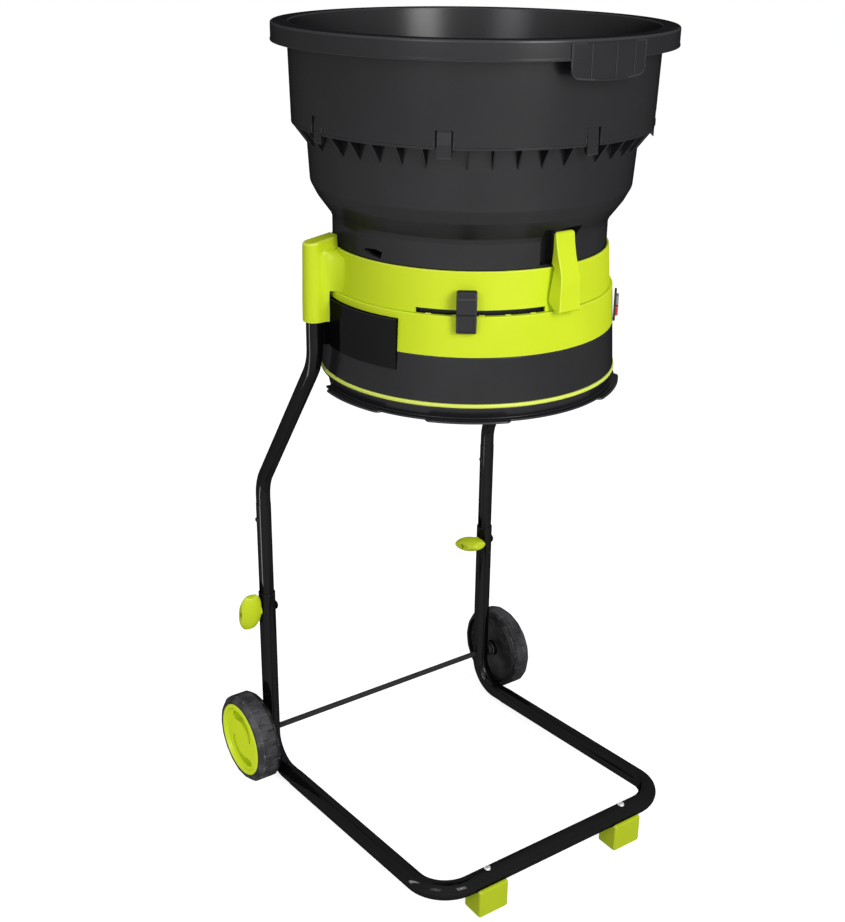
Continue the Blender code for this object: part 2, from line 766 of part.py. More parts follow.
def boss_inside():
    """Everything the boss must stay out of: half the collar's wall, band and saddle."""
    half = WALL / 2
    plate = SADDLE_R + 2 * GAP
    bm = bmesh.new()
    turned(bm, [(0.0, SOCKET_BOTTOM_Z - 0.01), (plate, SOCKET_BOTTOM_Z - 0.01), (plate, COLLAR_Z + GAP),
                (COLLAR_BOTTOM_R - half, COLLAR_Z + GAP), (COLLAR_TOP_R - half, COLLAR_TOP_Z - 0.0020),
                (COLLAR_TOP_R - half, COLLAR_TOP_Z + 0.05), (0.0, COLLAR_TOP_Z + 0.05)], SEGMENTS)
    return bm


def socket_bore(side):
    bm = bmesh.new()
    x = side * LEG_X
    cylinder(bm, UPPER_TUBE_R + 2 * GAP, (x, UPPER_LEG_Y, SOCKET_BOTTOM_Z - 0.01),
             (x, UPPER_LEG_Y, upper_leg_top() + GAP), 20)
    return bm


def standoff_channel(side):
    """Room for the saddle's stand-off on the way in to the tube."""
    bm = bmesh.new()
    half = STANDOFF_WIDTH / 2 + GAP
    ends = sorted((side * (SADDLE_R - LEG_STANDOFF), side * LEG_X))
    box(bm, (ends[0], UPPER_LEG_Y - half, SOCKET_BOTTOM_Z - 0.01),
        (ends[1], UPPER_LEG_Y + half, SADDLE_TOP_Z + GAP))
    return bm


def upper_leg_top():
    return SOCKET_TOP_Z - SOCKET_SLOPE - SOCKET_WALL


def latch_tongues():
    """A single lug, front and rear, that the latch turns on."""
    bm = bmesh.new()
    half = LATCH_TONGUE_WIDTH / 2
    reach = -LATCH_PIN_Y
    r = LATCH_FOOT_R - 0.0026
    for angle in (0.0, 180.0):
        outline = [(COLLAR_BOTTOM_R - 0.0015, LATCH_PIN_Z + r), (COLLAR_BOTTOM_R - 0.0015, LATCH_PIN_Z - r)]
        for i in range(7):
            a = math.radians(-90 + 180 * i / 6)
            outline.append((reach + r * math.cos(a), LATCH_PIN_Z + r * math.sin(a)))
        turn = facing(angle).to_3x3()
        def place(y, z, x, turn=turn):
            return turn @ Vector((x, y, z))
        prism(bm, outline, -half, half, place)
    return bm


def latch_pin_holes():
    bm = bmesh.new()
    for side in (-1, 1):
        cylinder(bm, LATCH_PIN_R + GAP, (-0.03, side * LATCH_PIN_Y, LATCH_PIN_Z),
                 (0.03, side * LATCH_PIN_Y, LATCH_PIN_Z), 12)
    return bm


def band(mats):
    """Lower green ring, notched round the saddles and behind the switch."""
    spigot_r = CHAMBER_R + WALL + 2 * GAP
    top = BAND_Z + BAND_HEIGHT
    bm = bmesh.new()
    ring_solid(bm, [
        (BAND_TOP_R - 0.0010, top),
        (BAND_TOP_R, top - 0.0010),
        (BAND_BOTTOM_R, BAND_Z + 0.0008),
        (BAND_BOTTOM_R - 0.0008, BAND_Z),
        (BAND_BOTTOM_R - WALL, BAND_Z),
        (BAND_TOP_R - WALL, top - WALL),
        (spigot_r, top - WALL),
        (spigot_r, top),
    ])
    obj = finish_mesh("housing_band", bm, mats["lime"])
    notch = bmesh.new()
    for start, end in saddle_spans(0.15):
        arc_cutter(notch, spigot_r, BAND_BOTTOM_R + 0.01, BAND_Z - 0.01, SADDLE_TOP_Z + GAP, start, end)
    cut(obj, tool("saddle_notches", notch))
    window = bmesh.new()
    box(window, (-BUTTON_WIDTH / 2 - 0.0008, BAND_TOP_R - 0.006, MID_BAND_Z - BUTTON_HEIGHT - 0.0018),
        (BUTTON_WIDTH / 2 + 0.0008, BAND_BOTTOM_R + 0.006, MID_BAND_Z + BUTTON_HEIGHT + 0.0018),
        facing(SWITCH_ANGLE))
    cut(obj, tool("switch_window", window))
    join(obj, tool("slot_detents", slot_detents(top)))
    return obj


def slot_detents(top):
    """Low bumps under the slot that the slider clicks over."""
    bm = bmesh.new()
    for i in range(DETENT_COUNT):
        angle = SLOT_START + (SLOT_END - SLOT_START) * (i + 0.5) / DETENT_COUNT
        box(bm, (-0.0030, COLLAR_BOTTOM_R - 0.0024, top - 0.0004),
            (0.0030, COLLAR_BOTTOM_R - GAP, top + DETENT_HEIGHT), facing(angle))
    return bm


def saddle_spans(extra):
    """Start and end angles of the two saddles, a little wider by extra."""
    return [(SADDLE_START - extra, SADDLE_END + extra),
            (-SADDLE_END - extra, -SADDLE_START + extra)]


def lower_housing(mats):
    """Double-walled black housing with the ledge that carries the motor spider."""
    skirt_r = CHAMBER_R + WALL
    top = HOUSING_Z + LOWER_HOUSING_HEIGHT
    bm = bmesh.new()
    ring_solid(bm, [
        (skirt_r, SPIGOT_WALL_TOP),
        (skirt_r, top),
        (BAND_BOTTOM_R, top),
        (HOUSING_R, HOUSING_Z),
        (HOUSING_R - 0.0040, HOUSING_Z),
        (BAND_BOTTOM_R - 0.0040, top - WALL),
        (skirt_r, top - WALL),
        (skirt_r, LEDGE_Z - 0.0070),
        (LEDGE_R, LEDGE_Z - 0.0070),
        (LEDGE_R, LEDGE_Z),
        (CHAMBER_R, LEDGE_Z),
        (CHAMBER_R, SPIGOT_WALL_TOP),
    ])
    obj = finish_mesh("lower_housing", bm, mats["black"])
    seat = bmesh.new()
    seat_r = SADDLE_R - SADDLE_THICKNESS - GAP
    for start, end in saddle_spans(0.15):
        arc_solid(seat, [(seat_r, SADDLE_BOTTOM_Z - GAP), (HOUSING_R + 0.01, SADDLE_BOTTOM_Z - GAP),
                         (HOUSING_R + 0.01, top + 0.01), (seat_r, top + 0.01)], start, end)
    cut(obj, tool("saddle_seats", seat))
    return obj


def trim_ring(mats):
    bm = bmesh.new()
    low = TRIM_Z
    high = TRIM_Z + TRIM_HEIGHT
    ring_solid(bm, [(TRIM_R - TRIM_WIDTH, high), (TRIM_R - 0.0006, high), (TRIM_R, (low + high) / 2),
                    (TRIM_R - 0.0006, low), (TRIM_R - TRIM_WIDTH, low)])
    return finish_mesh("trim_ring", bm, mats["lime"])


def discharge_ring(mats):
    """Tapered mouth, cut away beside the legs, with thin lips that hold a sack."""
    top = MOUTH_Z + DISCHARGE_HEIGHT
    spigot = TRIM_R - TRIM_WIDTH - GAP
    bm = bmesh.new()
    ring_solid(bm, [
        (DISCHARGE_R, top),
        (DISCHARGE_LOW_R, MOUTH_Z),
        (DISCHARGE_LOW_R - WALL, MOUTH_Z),
        (spigot - WALL, TRIM_Z + TRIM_HEIGHT),
        (spigot, TRIM_Z + TRIM_HEIGHT),
        (spigot, top),
    ])
    obj = finish_mesh("discharge_ring", bm, mats["black"])
    tabs = bmesh.new()
    inner = DISCHARGE_LOW_R - WALL + GAP
    high = MOUTH_Z + 2 * GAP
    for middle in TAB_ANGLES:
        arc_solid(tabs, [(inner, high), (TAB_R - 0.0006, high), (TAB_R, high - TAB_THICKNESS),
                         (inner, high - TAB_THICKNESS)], middle - TAB_HALF_ANGLE, middle + TAB_HALF_ANGLE)
    join(obj, tool("sack_lips", tabs))
    relief = bmesh.new()
    for start, end in ((RELIEF_START, RELIEF_END), (-RELIEF_END, -RELIEF_START)):
        arc_cutter(relief, spigot - 0.02, DISCHARGE_R + 0.01, MOUTH_Z - 0.01, top - RELIEF_BAND, start, end)
    cut(obj, tool("leg_reliefs", relief))
    return obj


def saddle(side, mats):
    """Curved steel plate under the band, with a welded stand-off to the leg."""
    span = saddle_spans(0.0)[0 if side < 0 else 1]
    name = "saddle_plate_left" if side < 0 else "saddle_plate_right"
    inner = SADDLE_R - SADDLE_THICKNESS
    bm = bmesh.new()
    arc_solid(bm, [(inner, SADDLE_BOTTOM_Z), (SADDLE_R, SADDLE_BOTTOM_Z),
                   (SADDLE_R, SADDLE_TOP_Z), (inner, SADDLE_TOP_Z)], *span)
    obj = finish_mesh(name, bm, mats["tube"])
    post = bmesh.new()
    ends = sorted((side * (SADDLE_R - 0.0100), side * LEG_X))
    half = STANDOFF_WIDTH / 2
    box(post, (ends[0], UPPER_LEG_Y - half, SADDLE_BOTTOM_Z + 0.0002),
        (ends[1], UPPER_LEG_Y + half, SADDLE_TOP_Z - 0.0002))
    join(obj, tool(name + "_standoff", post))
    bore = bmesh.new()
    cylinder(bore, UPPER_TUBE_R + 1.5 * GAP, (side * LEG_X, UPPER_LEG_Y, SADDLE_BOTTOM_Z - 0.01),
             (side * LEG_X, UPPER_LEG_Y, SADDLE_TOP_Z + 0.01), 24)
    cut(obj, tool(name + "_bore", bore))
    inside = bmesh.new()
    ring = [(inner - 0.02, SADDLE_BOTTOM_Z - 0.01), (inner, SADDLE_BOTTOM_Z - 0.01),
            (inner, SADDLE_TOP_Z + 0.01), (inner - 0.02, SADDLE_TOP_Z + 0.01)]
    arc_solid(inside, ring, span[0] - 5, span[1] + 5)
    cut(obj, tool(name + "_inside", inside))
    return obj


# Motor, cutting head and coarseness shutter

def motor_spider(mats):
    """Four arms with fixed shutter plates, carried on the housing's ledge."""
    outer = CHAMBER_R - GAP
    rim = LEDGE_R - 0.0050
    bm = bmesh.new()
    turned(bm, [(rim, SPIDER_Z), (outer, SPIDER_Z), (outer, SPIDER_TOP_Z), (rim, SPIDER_TOP_Z)], SEGMENTS)
    obj = finish_mesh("motor_spider", bm, mats["black"])
    parts = bmesh.new()
    hub = bmesh.new()
    turned(hub, [(BEARING_R + GAP, SPIDER_Z), (SPIDER_HUB_R, SPIDER_Z), (SPIDER_HUB_R, SPIDER_TOP_Z),
                 (BEARING_R + GAP, SPIDER_TOP_Z)], 20)
    for i in range(SECTOR_COUNT):
        angle = 45.0 + 360.0 * i / SECTOR_COUNT
        box(parts, (-0.0070, SPIDER_HUB_R - 0.0040, SPIDER_Z + 0.0003),
            (0.0070, rim + 0.0040, SPIDER_TOP_Z - 0.0010), facing(angle))
    plates = bmesh.new()
    for i in range(SECTOR_COUNT):
        angle = 45.0 + 360.0 * i / SECTOR_COUNT
        arc_solid(plates, [(SPIDER_HUB_R - 0.0030, SPIDER_TOP_Z - PLATE_THICKNESS - 0.0002),
                           (rim + 0.0030, SPIDER_TOP_Z - PLATE_THICKNESS - 0.0002),
                           (rim + 0.0030, SPIDER_TOP_Z - 0.0002),
                           (SPIDER_HUB_R - 0.0030, SPIDER_TOP_Z - 0.0002)],
                  angle - SECTOR_WIDTH / 2, angle + SECTOR_WIDTH / 2)
    join(obj, tool("spider_arms", parts))
    join(obj, tool("spider_hub", hub))
    join(obj, tool("spider_plates", plates))
    return obj


def motor_can(mats):
    top = SPIDER_Z - GAP
    low = top - MOTOR_LENGTH
    bore = SHAFT_R + GAP
    bm = bmesh.new()
    turned(bm, [(0.0, low), (MOTOR_R, low), (MOTOR_R, top - 0.0060), (MOTOR_R - 0.0060, top),
                (bore, top), (bore, top - 0.0300), (0.0, top - 0.0300)], 20)
    obj = finish_mesh("motor_can", bm, mats["motor"])
    vents = bmesh.new()
    for i in range(8):
        box(vents, (-0.0030, MOTOR_R - 0.0030, low + 0.0120), (0.0030, MOTOR_R + 0.0100, low + 0.0420),
            facing(22.5 + 45.0 * i))
    cut(obj, tool("motor_vents", vents))
    return obj


def motor_end_cap(mats):
    top = SPIDER_Z - MOTOR_LENGTH - 2 * GAP
    low = top - MOTOR_CAP_LENGTH
    bm = bmesh.new()
    turned(bm, [(0.0, low), (MOTOR_R * 0.55, low), (MOTOR_R * 0.92, low + 0.0040), (MOTOR_R, low + 0.0090),
                (MOTOR_R, top), (0.0, top)], 20)
    return finish_mesh("motor_end_cap", bm, mats["black"])


def upper_bearing(mats):
    bm = bmesh.new()
    top = SPIDER_TOP_Z - 0.0010
    turned(bm, [(SHAFT_R + GAP, top - BEARING_HEIGHT), (BEARING_R, top - BEARING_HEIGHT),
                (BEARING_R, top), (SHAFT_R + GAP, top)], 16)
    return finish_mesh("upper_bearing", bm, mats["steel"])


def motor_shaft(mats):
    bm = bmesh.new()
    low = SPIDER_Z - GAP - 0.0297
    top = POST_TOP_Z + NUT_HEIGHT + 0.0040
    turned(bm, [(0.0, low), (SHAFT_R, low), (SHAFT_R, top - 0.0010), (SHAFT_R - 0.0010, top), (0.0, top)], 12)
    return finish_mesh("motor_shaft", bm, mats["steel"])


def line_head(mats):
    """Disc with a raised boss and the two posts that the cutting lines loop round."""
    top = HEAD_Z + HEAD_THICKNESS
    bore = SHAFT_R + GAP
    bm = bmesh.new()
    edge = 0.0030
    turned(bm, [(bore, HEAD_Z - 0.0100), (0.0180, HEAD_Z - 0.0100), (0.0220, HEAD_Z), (HEAD_R - edge, HEAD_Z),
                (HEAD_R, HEAD_Z + edge), (HEAD_R, top - edge), (HEAD_R - edge, top), (0.0240, top),
                (0.0200, POST_TOP_Z), (bore, POST_TOP_Z)], 20)
    obj = finish_mesh("line_head", bm, mats["black"])
    posts = bmesh.new()
    for side in (-1, 1):
        cylinder(posts, POST_R, (side * POST_ORBIT, 0, top - 0.0020), (side * POST_ORBIT, 0, POST_TOP_Z), 12)
    join(obj, tool("line_posts", posts))
    return obj


def line_clamp(side, name, mats):
    bm = bmesh.new()
    low = POST_TOP_Z + GAP
    place = Matrix.Translation((side * POST_ORBIT, 0, 0))
    turned(bm, [(0.0, low), (CLAMP_R, low), (CLAMP_R, low + 0.0025), (CLAMP_R - 0.0020, low + 0.0045),
                (0.0, low + 0.0045)], 12, place)
    return finish_mesh(name, bm, mats["steel"])


def cutting_line(side, name, mats):
    """One line: out, round the post and out again, so that two ends cut."""
    z = HEAD_Z + HEAD_THICKNESS + GAP + LINE_R
    turns = 8
    opening = 62.0
    pitch = (360.0 - 2 * opening) / turns
    wrap = (POST_R + GAP + LINE_R) / math.cos(math.radians(pitch / 2))
    centre = Vector((side * POST_ORBIT, 0, z))
    half = math.radians(LINE_SPREAD)
    def tip(sign):
        a = sign * half
        r = LINE_REACH
        return Vector((side * r * math.cos(a), r * math.sin(a), z))
    points = [tip(1)]
    for i in range(turns + 1):
        a = math.radians(opening + pitch * i)
        points.append(centre + wrap * Vector((side * math.cos(a), math.sin(a), 0)))
    points.append(tip(-1))
    return rod(name, points, LINE_R, (0, 0, 1), mats["line"], 5)


def head_nut(mats):
    bm = bmesh.new()
    low = POST_TOP_Z + GAP
    high = low + NUT_HEIGHT
    turned(bm, [(SHAFT_R + GAP, low), (NUT_R, low), (NUT_R, high), (SHAFT_R + GAP, high)], 6)
    hole = bmesh.new()
    cylinder(hole, SHAFT_R + GAP, (0, 0, low - 0.01), (0, 0, high + 0.01), 12)
    obj = finish_mesh("head_nut", bm, mats["steel"])
    cut(obj, tool("head_nut_bore", hole))
    return obj


def shutter_ring(mats):
    """Sleeve with four blades that slide over the spider's fixed plates.

    The sleeve turns inside a faceted wall, so it fits the circle inside the facets.
    """
    outer = CHAMBER_R * math.cos(math.pi / SEGMENTS) - GAP
    inner = outer - 0.0022
    high = SHUTTER_Z + SLEEVE_HEIGHT
    bm = bmesh.new()
    ring_solid(bm, [(inner, SHUTTER_Z), (outer, SHUTTER_Z), (outer, high), (inner, high)])
    obj = finish_mesh("shutter_ring", bm, mats["black"])
    blades = bmesh.new()
    for i in range(SECTOR_COUNT):
        angle = 45.0 + SHUTTER_OFFSET + 360.0 * i / SECTOR_COUNT
        arc_solid(blades, [(SPIDER_HUB_R - 0.0060, SHUTTER_Z + 0.0001), (inner + 0.0008, SHUTTER_Z + 0.0001),
                           (inner + 0.0008, SHUTTER_Z + PLATE_THICKNESS),
                           (SPIDER_HUB_R - 0.0060, SHUTTER_Z + PLATE_THICKNESS)],
                  angle - SECTOR_WIDTH / 2, angle + SECTOR_WIDTH / 2)
    join(obj, tool("shutter_blades", blades))
    seat = bmesh.new()
    half = TONGUE_WIDTH / 2 + GAP
    box(seat, (-half, inner - 0.004, COLLAR_Z + TONGUE_LIFT - GAP),
        (half, outer + 0.004, COLLAR_Z + SLOT_HEIGHT - TONGUE_LIFT + GAP), facing(SLIDER_ANGLE))
    cut(obj, tool("tongue_seat", seat))
    return obj


def shutter_slider(mats):
    """Two-part knob outside the collar and the tongue that goes through the slot."""
    low = COLLAR_Z - 0.0205
    high = low + SLIDER_HEIGHT
    split = COLLAR_Z + GAP
    band_slope = (BAND_BOTTOM_R - BAND_TOP_R) / BAND_HEIGHT
    band_face = BAND_TOP_R + band_slope * (COLLAR_Z - low) + 2 * GAP
    collar_face = COLLAR_BOTTOM_R + 2 * GAP
    front = band_face + SLIDER_DEPTH
    place = facing(SLIDER_ANGLE)
    outline = [
        (band_face, low), (front - 0.0015, low), (front, low + 0.0030), (front, split - 0.0030),
        (front - 0.0013, split - 0.0020), (front, split - 0.0010), (front, high - 0.0120),
        (front + 0.0014, high - 0.0085), (front - 0.0025, high), (collar_face, high),
        (collar_face, split), (band_face, split),
    ]
    def spot(y, z, x):
        return place @ Vector((x, y, z))
    bm = bmesh.new()
    prism(bm, outline, -SLIDER_WIDTH / 2, SLIDER_WIDTH / 2, spot)
    obj = finish_mesh("shutter_slider", bm, mats["black"])
    tongue = bmesh.new()
    box(tongue, (-TONGUE_WIDTH / 2, CHAMBER_R - 0.0022, COLLAR_Z + TONGUE_LIFT),
        (TONGUE_WIDTH / 2, collar_face + 0.0010, COLLAR_Z + SLOT_HEIGHT - TONGUE_LIFT), place)
    join(obj, tool("slider_tongue", tongue))
    return obj


# Latches

def latch_lever(angle, name, mats):
    """Wedge-shaped lever, hollow at the foot, that pivots on the collar's lug."""
    pin = -LATCH_PIN_Y
    inner = NECK_R + 2 * GAP
    outer_top = inner + LATCH_TOP_THICKNESS
    outer_low = pin + LATCH_FOOT_R
    clear = COLLAR_BOTTOM_R + 4 * GAP
    outline = [(outer_low, LATCH_PIN_Z), (outer_low - 0.0010, LATCH_PIN_Z + 0.0300),
               (outer_top + 0.0030, LATCH_TOP_Z - 0.0140), (outer_top, LATCH_TOP_Z - 0.0030),
               (outer_top - 0.0030, LATCH_TOP_Z), (inner, LATCH_TOP_Z), (inner, COLLAR_TOP_Z + 0.0040),
               (clear, COLLAR_TOP_Z + 0.0006), (clear, LATCH_PIN_Z + 0.0100)]
    for i in range(6):
        a = math.radians(160 + 200 * i / 5)
        outline.append((pin + LATCH_FOOT_R * math.cos(a), LATCH_PIN_Z + LATCH_FOOT_R * math.sin(a)))
    outline.pop()
    turn = facing(angle).to_3x3()
    def place(y, z, x):
        return turn @ Vector((x, y, z))
    bm = bmesh.new()
    prism(bm, outline, -LATCH_WIDTH / 2, LATCH_WIDTH / 2, place)
    obj = finish_mesh(name, bm, mats["lime"])
    slot = bmesh.new()
    half = LATCH_TONGUE_WIDTH / 2 + 2 * GAP
    skin = outer_low - LATCH_SKIN
    prism(slot, [(clear - 0.02, LATCH_PIN_Z - 0.02), (skin, LATCH_PIN_Z - 0.02), (skin, LATCH_PIN_Z + 0.0030),
                 (pin + 0.0030, LATCH_PIN_Z + LATCH_FOOT_R), (clear - 0.02, LATCH_PIN_Z + LATCH_FOOT_R)],
          -half, half, place)
    cut(obj, tool(name + "_slot", slot))
    hole = bmesh.new()
    centre = turn @ Vector((0, pin, LATCH_PIN_Z))
    cylinder(hole, LATCH_PIN_R + GAP, centre - Vector((0.03, 0, 0)), centre + Vector((0.03, 0, 0)), 12)
    cut(obj, tool(name + "_pin_hole", hole))
    set_pivot(obj, centre)
    return obj


def latch_pin(angle, name, mats):
    bm = bmesh.new()
    centre = facing(angle).to_3x3() @ Vector((0, -LATCH_PIN_Y, LATCH_PIN_Z))
    half = Vector((LATCH_WIDTH / 2 - 0.0004, 0, 0))
    cylinder(bm, LATCH_PIN_R, centre - half, centre + half, 12)
    return finish_mesh(name, bm, mats["steel"])


# Stand

def side_name(base, side):
    return base + ("_left" if side < 0 else "_right")


def upper_leg(side, mats):
    """Bent tube from the collar's sleeve down and back to the telescopic leg."""
    x = side * LEG_X
    corners = [(x, UPPER_LEG_Y, upper_leg_top()), (x, UPPER_LEG_Y, UPPER_BEND_HIGH_Z),
               (x, LEG_Y, UPPER_BEND_LOW_Z), (x, LEG_Y, UPPER_LEG_BOTTOM)]
    points = bend_path(corners, UPPER_BEND_RADIUS, 3)
    radii = [UPPER_TUBE_R] * len(points)
    bore = [UPPER_TUBE_R - TUBE_WALL] * len(points)
    obj = pipe(side_name("upper_leg", side), points, radii, bore, (1, 0, 0), mats["tube"])
    cut(obj, tool(side_name("upper_snap_hole", side), snap_hole(side)))
    return obj


def snap_hole(side):
    bm = bmesh.new()
    x = side * LEG_X
    cylinder(bm, SNAP_R + GAP, (x - 0.0020, LEG_Y, SNAP_Z), (x - 0.0300, LEG_Y, SNAP_Z), 10)
    return bm


def mid_leg(side, mats):
    """Sliding tube, slotted for the clamp bolt."""
    x = side * LEG_X
    points = [Vector((x, LEG_Y, MID_LEG_TOP)), Vector((x, LEG_Y, MID_LEG_BOTTOM))]
    obj = pipe(side_name("mid_leg", side), points, [MID_TUBE_R] * 2, [MID_TUBE_R - 0.0010] * 2,
               (1, 0, 0), mats["tube"])
    cut(obj, tool(side_name("mid_snap_hole", side), snap_hole(side)))
    slot = bmesh.new()
    low = BOLT_Z - ADJUST_UP
    high = BOLT_Z + ADJUST_DOWN
    r = BOLT_R + 2 * GAP
    outline = []
    for i in range(7):
        a = math.pi * i / 6
        outline.append((r * math.cos(a), high + r * math.sin(a)))
    for i in range(7):
        a = math.pi + math.pi * i / 6
        outline.append((r * math.cos(a), low + r * math.sin(a)))
    def place(y, z, across):
        return Vector((x + across, LEG_Y + y, z))
    prism(slot, outline, -0.02, 0.02, place)
    cut(obj, tool(side_name("adjust_slot", side), slot))
    return obj


def base_slope_point(x, y):
    """Point on the straight run from the rear corner to the front crossbar."""
    share = (LEG_Y - y) / (LEG_Y - BASE_FRONT_Y)
    return Vector((x, y, BASE_REAR_Z + share * (BASE_FRONT_Z - BASE_REAR_Z)))


def lower_leg(side, mats):
    """Upright with the rear bend; the axle and the clamp bolt pass through it."""
    x = side * LEG_X
    corners = [(x, LEG_Y, LOWER_LEG_TOP), (x, LEG_Y, BASE_REAR_Z), base_slope_point(x, BASE_JOINT_Y)]
    points = bend_path(corners, REAR_BEND_RADIUS, 5)
    obj = pipe(side_name("lower_leg", side), points, [LOWER_TUBE_R] * len(points),
               [LOWER_TUBE_R - TUBE_WALL] * len(points), (1, 0, 0), mats["tube"])
    holes = bmesh.new()
    cylinder(holes, AXLE_R + 2 * GAP, (x - 0.03, LEG_Y, WHEEL_R), (x + 0.03, LEG_Y, WHEEL_R), 12)
    cylinder(holes, BOLT_R + 2 * GAP, (x - 0.03, LEG_Y, BOLT_Z), (x + 0.03, LEG_Y, BOLT_Z), 8)
    cut(obj, tool(side_name("leg_holes", side), holes))
    return obj


def base_tube(mats):
    """U-shaped floor tube with reduced ends that plug into the rear bends."""
    ends = []
    for side in (-1, 1):
        x = side * LEG_X
        inner = base_slope_point(x, BASE_JOINT_Y + BASE_SPIGOT_LENGTH)
        seat = base_slope_point(x, BASE_JOINT_Y - GAP)
        ends.append((inner, seat))
    corners = [ends[0][1], base_slope_point(-LEG_X, BASE_FRONT_Y), base_slope_point(LEG_X, BASE_FRONT_Y),
               ends[1][1]]
    run = bend_path(corners, FRONT_BEND_RADIUS, 4)
    points = [ends[0][0], ends[0][1]] + run + [ends[1][1], ends[1][0]]
    spigot = LOWER_TUBE_R - TUBE_WALL - GAP
    radii = [spigot] * 2 + [LOWER_TUBE_R] * len(run) + [spigot] * 2
    bore = [spigot - TUBE_WALL] * len(points)
    slope = (ends[0][0] - corners[1]).normalized()
    normal = Vector((1, 0, 0)).cross(slope)
    obj = pipe("base_tube", points, radii, bore, normal, mats["tube"], 90.0)
    holes = bmesh.new()
    for side in (-1, 1):
        x = side * FOOT_X
        cylinder(holes, SCREW_R + 2 * GAP, (x, BASE_FRONT_Y, 0.0), (x, BASE_FRONT_Y, 0.08), 8)
    cut(obj, tool("foot_screw_holes", holes))
    return obj


def axle(mats):
    bm = bmesh.new()
    reach = WHEEL_INNER_X + WHEEL_WIDTH - 0.0070
    cylinder(bm, AXLE_R, (-reach, LEG_Y, WHEEL_R), (reach, LEG_Y, WHEEL_R), 12)
    obj = finish_mesh("axle", bm, mats["tube"])
    return obj


def across_matrix(x, y, z):
    """Lays a solid turned about Z along X, through a given point."""
    return Matrix.Translation((x, y, z)) @ Matrix.Rotation(math.pi / 2, 4, 'Y')


def axle_spacer(side, mats):
    bm = bmesh.new()
    start = LEG_X + LOWER_TUBE_R + GAP
    place = across_matrix(0, LEG_Y, WHEEL_R)
    a, b = sorted((side * start, side * (start + SPACER_LENGTH)))
    turned(bm, [(AXLE_R + GAP, a), (SPACER_R, a), (SPACER_R, b), (AXLE_R + GAP, b)], 12, place)
    return finish_mesh(side_name("axle_spacer", side), bm, mats["black"])


def tyre(side, mats):
    """Black wheel: tread, a web with an inner recess and the boss round the axle."""
    r = WHEEL_R
    w = WHEEL_WIDTH
    x0 = WHEEL_INNER_X
    bore = AXLE_R + 2 * GAP
    web = WHEEL_WEB_DEPTH
    back = web + WHEEL_WEB_THICKNESS
    rim = HUB_R - 0.0040
    shoulder = 0.0058
    profile = [(bore, 0.0), (WHEEL_BOSS_R, 0.0), (WHEEL_BOSS_R, web), (rim, web), (rim, 0.0),
               (r - shoulder, 0.0), (r, shoulder), (r, w - shoulder), (r - shoulder, w),
               (HUB_R + GAP, w), (HUB_R + GAP, back), (bore, back)]
    bm = bmesh.new()
    turned(bm, [(a, side * (x0 + b)) for a, b in profile], WHEEL_SEGMENTS, across_matrix(0, LEG_Y, WHEEL_R))
    obj = finish_mesh(side_name("tyre", side), bm, mats["rubber"])
    set_pivot(obj, (side * (x0 + w / 2), LEG_Y, WHEEL_R))
    return obj


def hub(side, mats):
    """Dished cap on the outer side, with a raised rim and three curved pockets."""
    w = WHEEL_WIDTH
    x0 = WHEEL_INNER_X
    bore = AXLE_R + 2 * GAP
    seat = WHEEL_WEB_DEPTH + WHEEL_WEB_THICKNESS + GAP
    blind = w - 0.0060
    profile = [(bore, seat), (HUB_R, seat), (HUB_R, w), (HUB_R - 0.0045, w + 0.0012),
               (HUB_R - 0.0085, w - 0.0030), (0.0, w - 0.0005), (0.0, blind), (bore, blind)]
    bm = bmesh.new()
    turned(bm, [(a, side * (x0 + b)) for a, b in profile], WHEEL_SEGMENTS, across_matrix(0, LEG_Y, WHEEL_R))
    obj = finish_mesh(side_name("wheel_hub", side), bm, mats["lime"])
    pockets = bmesh.new()
    for i in range(3):
        pocket_shape(pockets, side, 2 * math.pi * i / 3 + math.radians(80))
    cut(obj, tool(side_name("hub_pockets", side), pockets))
    set_pivot(obj, (side * (x0 + w / 2), LEG_Y, WHEEL_R))
    return obj


def pocket_shape(bm, side, start):
    """Crescent between two arcs, cut at a depth that grows along it."""
    steps = 6
    outer = []
    inner = []
    for i in range(steps + 1):
        share = i / steps
        a = start + share * math.radians(88)
        middle = 0.0345 - 0.0060 * share
        half = 0.0008 + 0.0062 * math.sin(math.pi * (0.12 + 0.80 * share)) ** 1.2
        outer.append((middle + half, a))
        inner.append((middle - half, a))
    outline = outer + inner[::-1]
    face = WHEEL_INNER_X + WHEEL_WIDTH
    def place(r, a, x):
        return Vector((side * x, LEG_Y + side * r * math.cos(a), WHEEL_R + r * math.sin(a)))
    low = [place(r, a, face - 0.0085) for r, a in outline]
    high = [place(r, a, face + 0.0100) for r, a in outline]
    bridge_sections(bm, [low, high], False)


def foot(side, mats):
    """Rubbery block that the crossbar sits down into."""
    half = FOOT_WIDTH / 2
    x = side * FOOT_X
    front = BASE_FRONT_Y - FOOT_LENGTH / 2
    bm = bmesh.new()
    box(bm, (x - half, front, 0.0), (x + half, front + FOOT_LENGTH, FOOT_HEIGHT))
    obj = finish_mesh(side_name("foot", side), bm, mats["lime"])
    bevel(obj, 0.0030)
    groove = bmesh.new()
    cylinder(groove, LOWER_TUBE_R + 2 * GAP, (x - 0.05, BASE_FRONT_Y, BASE_FRONT_Z),
             (x + 0.05, BASE_FRONT_Y, BASE_FRONT_Z), 24)
    cut(obj, tool(side_name("foot_groove", side), groove))
    hole = bmesh.new()
    cylinder(hole, SCREW_R + 2 * GAP, (x, BASE_FRONT_Y, SCREW_BOTTOM_Z - 0.0020),
             (x, BASE_FRONT_Y, FOOT_HEIGHT), 10)
    cut(obj, tool(side_name("foot_screw_hole", side), hole))
    return obj


